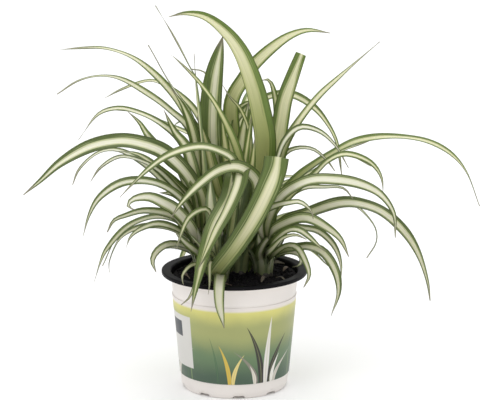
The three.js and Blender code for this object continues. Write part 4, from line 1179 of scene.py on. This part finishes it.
def make_soil(settings):
    """The soil's lumpy bed, which fills the pot, and the crumbs on it."""
    edge = wall_radius(SOIL_EDGE) - WALL - GAP
    rings = [(edge * ring / SOIL_RINGS, None) for ring in range(1, SOIL_RINGS + 1)]
    rings.append((wall_radius(INSIDE_FOOT) - WALL - GAP, SOIL_FOOT))
    rings.append((wall_radius(SOIL_FLOOR_ROUND) - WALL - FLOOR_INSET - GAP, FLOOR_TOP + GAP))

    def place(radius, height, angle):
        return on_ring(radius, angle, soil_top(radius, angle) if height is None else height)

    points = [place(0, None, 0)]
    for ring in rings:
        points += around(SOIL_SEGMENTS, partial(place, *ring))
    faces = []
    for at in range(SOIL_SEGMENTS):
        after = (at + 1) % SOIL_SEGMENTS
        faces.append((0, 1 + at, 1 + after))
        for low in range(1, 1 + (len(rings) - 1) * SOIL_SEGMENTS, SOIL_SEGMENTS):
            high = low + SOIL_SEGMENTS
            faces.append((low + at, high + at, high + after, low + after))
    faces.append(tuple(range(len(points) - SOIL_SEGMENTS, len(points))))
    material = soil_material(settings)
    bed = new_piece("soil_bed", points, faces, [material])
    point_out(bed)
    crumbs = new_piece("soil_crumbs", [v.co for v in bed.data.vertices],
                       [tuple(f.vertices) for f in bed.data.polygons])
    use_tree(crumbs, crumb_tree(), crumb=settings.crumb, density=settings.density,
             reach=edge - 2.5 * settings.crumb, seed=settings.seed, material=material)
    for piece in (bed, crumbs):
        finish_piece(piece, "soil")


# Blades, swept along midribs

# What one blade keeps alike along all of it
LOOKS = ("shade", "stripe", "shift", "cut", "fresh")


def new_ribs():
    """An empty list of midrib points with what each keeps for the blade that is swept on it."""
    return {name: [] for name in ("points", "edges", "side", "face", "half", "share", "along", *LOOKS)}


def add_rib(ribs, points, length, sides, halves, looks):
    """Adds one midrib. looks gives the blade's own values, in the order of their names."""
    start = len(ribs["points"])
    last = len(points) - 1
    for at, (point, side, half) in enumerate(zip(points, sides, halves)):
        tangent = tangent_at(points, at)
        values = {"points": point, "side": side, "face": tangent.cross(side).normalized(),
                  "half": half, "share": at / last, "along": length * at / last}
        values.update(zip(LOOKS, looks))
        for name, value in values.items():
            ribs[name].append(value)
    ribs["edges"] += [(start + at, start + at + 1) for at in range(last)]


def tangent_at(points, at):
    """A line's direction at one of its points."""
    return (points[min(len(points) - 1, at + 1)] - points[max(0, at - 1)]).normalized()


def ribs_piece(name, ribs):
    """Midribs as a mesh of lines, with their values kept at its points."""
    mesh = bpy.data.meshes.new(name)
    mesh.from_pydata(ribs["points"], ribs["edges"], [])
    for key in ("side", "face"):
        vectors = mesh.attributes.new(key, "FLOAT_VECTOR", "POINT")
        vectors.data.foreach_set("vector", [number for value in ribs[key] for number in value])
    for key in ("half", "share", "along", *LOOKS):
        mesh.attributes.new(key, "FLOAT", "POINT").data.foreach_set("value", ribs[key])
    return placed(name, mesh)


def blade_tree():
    """Sweeps a thin closed blade along each midrib: a shallow channel with waved margins."""
    nodes, given, end = new_tree("GeometryNodeTree", "Leaf blades", {
        "Geometry": "Geometry", "Section points": 16, "Thickness": 0.0007, "Fold": 0.34,
        "Ripple": 0.0005, "Seed": 7, "Material": "Material"}, {"Geometry": "Geometry"})
    rails = nodes.take("GeometryNodeMeshToCurve", {0: given["Geometry"]})
    rails, centre = noted(nodes, rails, nodes.take("GeometryNodeInputPosition"), "VECTOR")
    section = nodes.take("GeometryNodeCurvePrimitiveCircle", {
        "Resolution": given["Section points"], "Radius": 0.001}, mode="RADIUS")
    way = nodes.take("GeometryNodeSplineParameter", output="Factor")
    section, way = noted(nodes, section, way, "FLOAT")
    blades = nodes.take("GeometryNodeCurveToMesh", {
        "Curve": rails, "Profile Curve": section, "Fill Caps": True})

    # way runs once round the section: from one margin over the top to the other and back under
    across = nodes.math("COSINE", way * math.tau)
    above = nodes.math("SINE", way * math.tau)
    half = nodes.field("half")
    out = abs(across)
    rise = out ** FOLD_POWER * half * given["Fold"]
    turn = (nodes.field("shade") + given["Seed"] * RIPPLE_SEED) * RIPPLE_TURN
    phase = nodes.field("along") * RIPPLE_PITCH + turn
    wave = nodes.math("SINE", phase + nodes.math("SIGN", across) * RIPPLE_LAG)
    wave = wave * (given["Ripple"] * (out * nodes.field("share").step(*RIPPLE_START)))
    thin = nodes.math("MINIMUM", given["Thickness"] * 0.5, half * THINNEST)
    aside = nodes.scaled(nodes.field("side", "FLOAT_VECTOR"), across * half)
    up = nodes.scaled(nodes.field("face", "FLOAT_VECTOR"), rise + wave + above * thin)
    place = nodes.vector("ADD", centre, nodes.vector("ADD", aside, up))
    shaped = nodes.take("GeometryNodeSetPosition", {0: blades, "Position": place})
    for name, value in (("across", across), ("under", above * -1.0), ("way", way)):
        shaped = nodes.take("GeometryNodeStoreNamedAttribute", {
            "Geometry": shaped, "Name": name, "Value": value})
    end_tree(nodes, end, shaped, given["Material"])
    return nodes.tree


def lay_out_blades(piece):
    """Lays the blades out as strips side by side in the piece's own UV map."""
    mesh = piece.data
    values = {}
    for name in ("way", "share", "shade"):
        numbers = np.empty(len(mesh.vertices), np.float32)
        mesh.attributes[name].data.foreach_get("value", numbers)
        values[name] = numbers.tolist()
    strips = {shade: at for at, shade in enumerate(sorted(set(values["shade"])))}
    uv = mesh.uv_layers.new(name="OFBake")
    for face in mesh.polygons:
        corners = [mesh.loops[at].vertex_index for at in face.loop_indices]
        ways = [values["way"][corner] for corner in corners]
        if len(corners) == 4 and max(ways) - min(ways) > 0.5:
            ways = [way + 1 if way < 0.5 else way for way in ways]
        for at, corner, way in zip(face.loop_indices, corners, ways):
            strip = strips[values["shade"][corner]]
            uv.data[at].uv = ((strip + STRIP_MARGIN + (1 - 2 * STRIP_MARGIN) * way) / len(strips),
                              END_MARGIN + (1 - 2 * END_MARGIN) * values["share"][corner])


def grow(name, ribs, tree, slot, node, **values):
    """Sweeps the blades on their midribs and finishes them as one piece."""
    piece = ribs_piece(name, ribs)
    use_tree(piece, tree, **values)
    point_out(piece)
    lay_out_blades(piece)
    finish_piece(piece, node)


# Leaves

def in_sight(across, up, depth):
    """The place of a point seen across and up in the plane of sight, at its true depth."""
    sine = math.sin(SIGHT_DOWN)
    cosine = math.cos(SIGHT_DOWN)
    rise = up * MM - SIGHT_UP
    away = (depth * MM - up * MM * sine) / (cosine + rise * sine / SIGHT_DISTANCE)
    spread = 1 + away / SIGHT_DISTANCE
    height = SIGHT_UP + rise * spread
    return Vector((SIGHT_ACROSS + (across * MM - SIGHT_ACROSS) * spread, depth * MM,
                   height * cosine - away * sine))


def midrib_controls(place, leaf, order):
    """The points that a midrib runs through, from its own place in the crown to its tip."""
    seen = [in_sight(*point) for point in leaf.path]
    root = SOIL_EDGE + ROOT_HEIGHT + ROOT_STEP * (order % 4)
    foot = Vector(on_ring(CROWN_RADIUS * ROOT_REACH, order * GOLDEN_ANGLE, root, place))
    aim = (seen[0] - foot) * Vector((1, 1, 0))
    lift = foot + aim.normalized() * CROWN_RADIUS * LIFT_REACH
    lift.z += min(CROWN_LIFT, LIFT_MOST * (seen[0].z - foot.z))
    return [foot, lift, *seen]


def sheath_controls(place, order, chance):
    """The points of a short outer sheath, which stands at the crown's side and leans away from it."""
    away = Vector(on_ring(1, (order + 0.5) * GOLDEN_ANGLE, 0))
    foot = Vector((*place, SOIL_EDGE - SHEATH_ROOT)) + away * CROWN_RADIUS * SHEATH_REACH
    tall = chance.uniform(*SHEATH_HEIGHTS)
    lean = chance.uniform(*SHEATH_LEANS) * tall
    return [foot, foot + away * lean * 0.2 + Vector((0, 0, 0.5 * tall)),
            foot + away * lean + Vector((0, 0, tall))]


def curve_through(controls, samples):
    """Points of the centripetal curve through the controls, with so many to a span."""
    first = 2 * controls[0] - controls[1]
    last = 2 * controls[-1] - controls[-2]
    line = [first, *controls, last]
    points = []
    for span in range(1, len(line) - 2):
        p0, p1, p2, p3 = line[span - 1:span + 3]
        d0, d1, d2 = [math.sqrt((b - a).length) for a, b in ((p0, p1), (p1, p2), (p2, p3))]
        leave = ((p1 - p0) / d0 - (p2 - p0) / (d0 + d1) + (p2 - p1) / d1) * d1
        meet = ((p2 - p1) / d1 - (p3 - p1) / (d1 + d2) + (p3 - p2) / d2) * d1
        for at in range(samples):
            t = at / samples
            points.append(p1 + t * leave + t * t * (3 * (p2 - p1) - 2 * leave - meet)
                          + t ** 3 * (2 * (p1 - p2) + leave + meet))
    return [*points, controls[-1]]


def even_points(points, step):
    """The same line with its points at even distances, and its length."""
    line = np.array(points)
    runs = np.concatenate([[0], np.cumsum(np.linalg.norm(np.diff(line, axis=0), axis=1))])
    count = max(FEWEST_RINGS, round(runs[-1] / step)) + 1
    places = np.linspace(0, runs[-1], count)
    axes = [np.interp(places, runs, line[:, axis]) for axis in range(3)]
    return [Vector(point) for point in zip(*axes)], runs[-1]


def width_share(share, leaf):
    """Share of a leaf's full width at a share of its length."""
    if share <= leaf.widest:
        return BLADE_FOOT + (1 - BLADE_FOOT) * share / leaf.widest
    return 1 - (1 - leaf.cut) * ((share - leaf.widest) / (1 - leaf.widest)) ** leaf.taper


def blade_side(tangent, heading, turn):
    """Across a blade: level and square to its heading, then turned to face the front."""
    level = Vector((-heading.y, heading.x, 0))
    side = (level - tangent * level.dot(tangent)).normalized()
    natural = tangent.cross(side)
    eye = Vector((0, -math.cos(SIGHT_DOWN), math.sin(SIGHT_DOWN)))
    eye = (eye - tangent * eye.dot(tangent)).normalized()
    face = (natural * math.cos(turn) + eye * math.sin(turn)).normalized()
    return face.cross(tangent).normalized()


def add_blade(ribs, controls, leaf, looks):
    """Adds the midrib of one leaf to the list, with its sides and widths."""
    points, length = even_points(curve_through(controls, SPAN_SAMPLES), RING_STEP)
    heading = ((points[-1] - points[0]) * Vector((1, 1, 0))).normalized()
    foot_turn, tip_turn = leaf.turn
    sides = []
    halves = []
    for at in range(len(points)):
        share = at / (len(points) - 1)
        turn = math.radians(foot_turn + (tip_turn - foot_turn) * share)
        sides.append(blade_side(tangent_at(points, at), heading, turn))
        halves.append(max(BLADE_TIP, leaf.width * MM * width_share(share, leaf)) / 2)
    add_rib(ribs, points, length, sides, halves, looks)


def make_leaves(settings):
    """Each rosette's leaves and outer sheaths as one piece."""
    material = leaf_material(lines_group(), settings)
    tree = blade_tree()
    chance = random.Random(settings.seed)
    for name, place in CROWNS.items():
        ribs = new_ribs()
        for order, leaf in enumerate(LEAVES[name]):
            stripe = leaf.stripe or chance.uniform(*STRIPE_RANGE)
            looks = (chance.random(), stripe, leaf.shift, 1 if leaf.cut else 0,
                     leaf.fresh or FRESH[name])
            add_blade(ribs, midrib_controls(place, leaf, order), leaf, looks)
        for order in range(SHEATH_BLADES):
            looks = (chance.random(), chance.uniform(*STRIPE_RANGE), 0, 0, FRESH[name])
            add_blade(ribs, sheath_controls(place, order, chance), SHEATH_LEAF, looks)
        grow(f"leaves_{name}", ribs, tree, "leaf", f"rosette_{name}",
             section_points=settings.section_points, thickness=settings.thickness,
             fold=settings.fold, ripple=settings.ripple, seed=settings.seed, material=material)


def make_crowns():
    """The stubs under the leaves: sheaths pressed round each other, ribbed by their edges."""
    material = crown_material()

    def place(centre, share, up, angle):
        height = SOIL_EDGE - CROWN_ROOT + up
        lap = 1 - CROWN_LAP_DEPTH * ((angle * CROWN_LAPS / math.tau + height * CROWN_TWIST) % 1)
        return on_ring(CROWN_RADIUS * share * lap, angle, height, centre)

    for name, centre in CROWNS.items():
        points = []
        for row in CROWN_ROWS:
            points += around(CROWN_SEGMENTS, partial(place, centre, *row))
        faces = band(len(CROWN_ROWS), CROWN_SEGMENTS) + ends(len(CROWN_ROWS), CROWN_SEGMENTS)
        piece = new_piece(f"crown_{name}", points, faces, [material])
        point_out(piece)
        finish_piece(piece, f"rosette_{name}")


def make_scraps(settings):
    """Curled scraps of dead leaf that lie on the soil."""
    ribs = new_ribs()
    for order, (middle, heading, length, width) in enumerate(SCRAPS):
        ahead = Vector(on_ring(1, math.radians(heading), 0))
        centre = Vector((*middle, 0)) * MM
        points = []
        halves = []
        for at in range(SCRAP_STEPS + 1):
            share = at / SCRAP_STEPS
            spot = centre + ahead * (share - 0.5) * length * MM
            spot.z = soil_top(spot.xy.length, math.atan2(spot.y, spot.x)) + SCRAP_LIFT
            spot.z += SCRAP_ARCH * math.sin(math.pi * share)
            points.append(spot)
            halves.append(width * MM * (0.25 + 0.75 * math.sin(math.pi * min(1, share * 1.2 + 0.05))) / 2)
        halves[-1] = BLADE_TIP
        across = Vector((-ahead.y, ahead.x, 0.5)).normalized()
        add_rib(ribs, points, length * MM, [across] * len(points), halves,
                (order / len(SCRAPS), 0.5, 0, 0, 0))
    grow("leaf_litter", ribs, blade_tree(), "soil", "soil", section_points=10, thickness=0.0005,
         fold=0.5, ripple=0.0004, seed=settings.seed, material=scrap_material(lines_group()))


# Stage

def make_stage(settings):
    """A plain pale floor, white surroundings and soft studio lamps."""
    world = bpy.data.worlds.new("White surroundings")
    world.use_nodes = True
    sky = next(n for n in world.node_tree.nodes if n.type == "BACKGROUND")
    sky.inputs["Color"].default_value = (1, 1, 1, 1)
    overhead = Nodes(world.node_tree)
    height = overhead.axis(overhead.take("ShaderNodeTexCoord", output="Generated"), "Z")
    overhead.feed(sky.inputs["Strength"], overhead.take("ShaderNodeMapRange", {
        "Value": height, 1: 0.0, 2: 1.0, 3: settings.sky * settings.horizon, 4: settings.sky}))
    bpy.context.scene.world = world
    bpy.context.scene.view_settings.view_transform = "Standard"

    material, nodes, shader = new_material("Pale floor", Roughness=0.9)
    drift = nodes.noise(nodes.object_place(), 3.0)
    nodes.feed(shader["Base Color"], nodes.over(settings.floor, FLOOR_DRIFT, drift, 0.1))
    rim = around(FLOOR_SEGMENTS, lambda angle: on_ring(settings.floor_radius, angle, 0))
    new_piece("floor", rim, [tuple(range(FLOOR_SEGMENTS))], [material], smooth=False)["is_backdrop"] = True

    for name, place, size, power in LAMPS:
        lamp = bpy.data.lights.new(name, "AREA")
        lamp.shape = "DISK"
        lamp.size = size
        lamp.energy = power
        light = placed(name, lamp)
        light.location = place
        light.rotation_euler = (Vector(place) - LAMP_AIM).to_track_quat("Z", "Y").to_euler()


def make_camera():
    """The photograph's eye."""
    across = math.cos(SIGHT_DOWN)
    down = math.sin(SIGHT_DOWN)
    looked_at = Vector((SIGHT_ACROSS, SIGHT_UP * down, SIGHT_UP * across))
    data = bpy.data.cameras.new("eye")
    data.sensor_width = SENSOR
    data.lens = SENSOR * SIGHT_DISTANCE / (FRAME_WIDTH * PIXEL)
    data.clip_end = 100
    camera = placed("eye", data)
    camera.location = looked_at + SIGHT_DISTANCE * Vector((0, -across, down))
    camera.rotation_euler = (math.pi / 2 - SIGHT_DOWN, 0, 0)
    bpy.context.scene.camera = camera


# Operators

class PLANT_OT_pot(bpy.types.Operator):
    """Build the pot: its white outside, black inside, rolled rim, feet and drain holes"""
    bl_idname = "plant.pot"
    bl_label = "Build the pot"

    def execute(self, context):
        make_pot(context.scene.plant_pot, wear_group())
        return {"FINISHED"}


class PLANT_OT_sleeve(bpy.types.Operator):
    """Wrap the printed sleeve round the pot's wall"""
    bl_idname = "plant.sleeve"
    bl_label = "Wrap the sleeve"

    def execute(self, context):
        make_sleeve(context.scene.plant_sleeve, wear_group())
        return {"FINISHED"}


class PLANT_OT_soil(bpy.types.Operator):
    """Fill the pot with soil, crumbs and dead leaf scraps"""
    bl_idname = "plant.soil"
    bl_label = "Fill in the soil"

    def execute(self, context):
        make_soil(context.scene.plant_soil)
        make_scraps(context.scene.plant_soil)
        return {"FINISHED"}


class PLANT_OT_crowns(bpy.types.Operator):
    """Set the crowns, from which the leaves rise"""
    bl_idname = "plant.crowns"
    bl_label = "Set the crowns"

    def execute(self, context):
        make_crowns()
        return {"FINISHED"}


class PLANT_OT_leaves(bpy.types.Operator):
    """Grow the leaves of each rosette"""
    bl_idname = "plant.leaves"
    bl_label = "Grow the leaves"

    def execute(self, context):
        make_leaves(context.scene.plant_leaves)
        return {"FINISHED"}


class PLANT_OT_stage(bpy.types.Operator):
    """Set the floor, the light and the camera"""
    bl_idname = "plant.stage"
    bl_label = "Set the stage"

    def execute(self, context):
        make_stage(context.scene.plant_stage)
        make_camera()
        return {"FINISHED"}


class PLANT_PT_panel(bpy.types.Panel):
    """The plant's sizes and colours, each with the button that builds from them"""
    bl_idname = "PLANT_PT_panel"
    bl_label = "Potted spider plant"
    bl_space_type = "VIEW_3D"
    bl_region_type = "UI"
    bl_category = "Plant"

    def draw(self, context):
        for name, group, operators in GROUPS:
            box = self.layout.box()
            settings = getattr(context.scene, name)
            for key in group.__annotations__:
                box.prop(settings, key)
            for operator in operators:
                box.operator(operator.bl_idname)


GROUPS = [
    ("plant_pot", PotSettings, [PLANT_OT_pot]),
    ("plant_sleeve", SleeveSettings, [PLANT_OT_sleeve]),
    ("plant_soil", SoilSettings, [PLANT_OT_soil]),
    ("plant_leaves", LeafSettings, [PLANT_OT_crowns, PLANT_OT_leaves]),
    ("plant_stage", StageSettings, [PLANT_OT_stage]),
]
CLASSES = [group for _, group, _ in GROUPS]
CLASSES += [operator for _, _, operators in GROUPS for operator in operators]
CLASSES += [PLANT_PT_panel]


def register():
    for each in CLASSES:
        bpy.utils.register_class(each)
    for name, group, _ in GROUPS:
        setattr(bpy.types.Scene, name, PointerProperty(type=group))


def unregister():
    for name, _, _ in GROUPS:
        delattr(bpy.types.Scene, name)
    for each in reversed(CLASSES):
        bpy.utils.unregister_class(each)


def corners(box):
    return [list(corner) for corner in box]


def main():
    register()
    bpy.ops.plant.stage()
    bpy.ops.plant.pot()
    bpy.ops.plant.sleeve()
    bpy.ops.plant.soil()
    bpy.ops.plant.crowns()
    bpy.ops.plant.leaves()
    {"cad": corners(CAD_BOX), "visual": corners(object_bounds())}


if __name__ == "__main__":
    main()
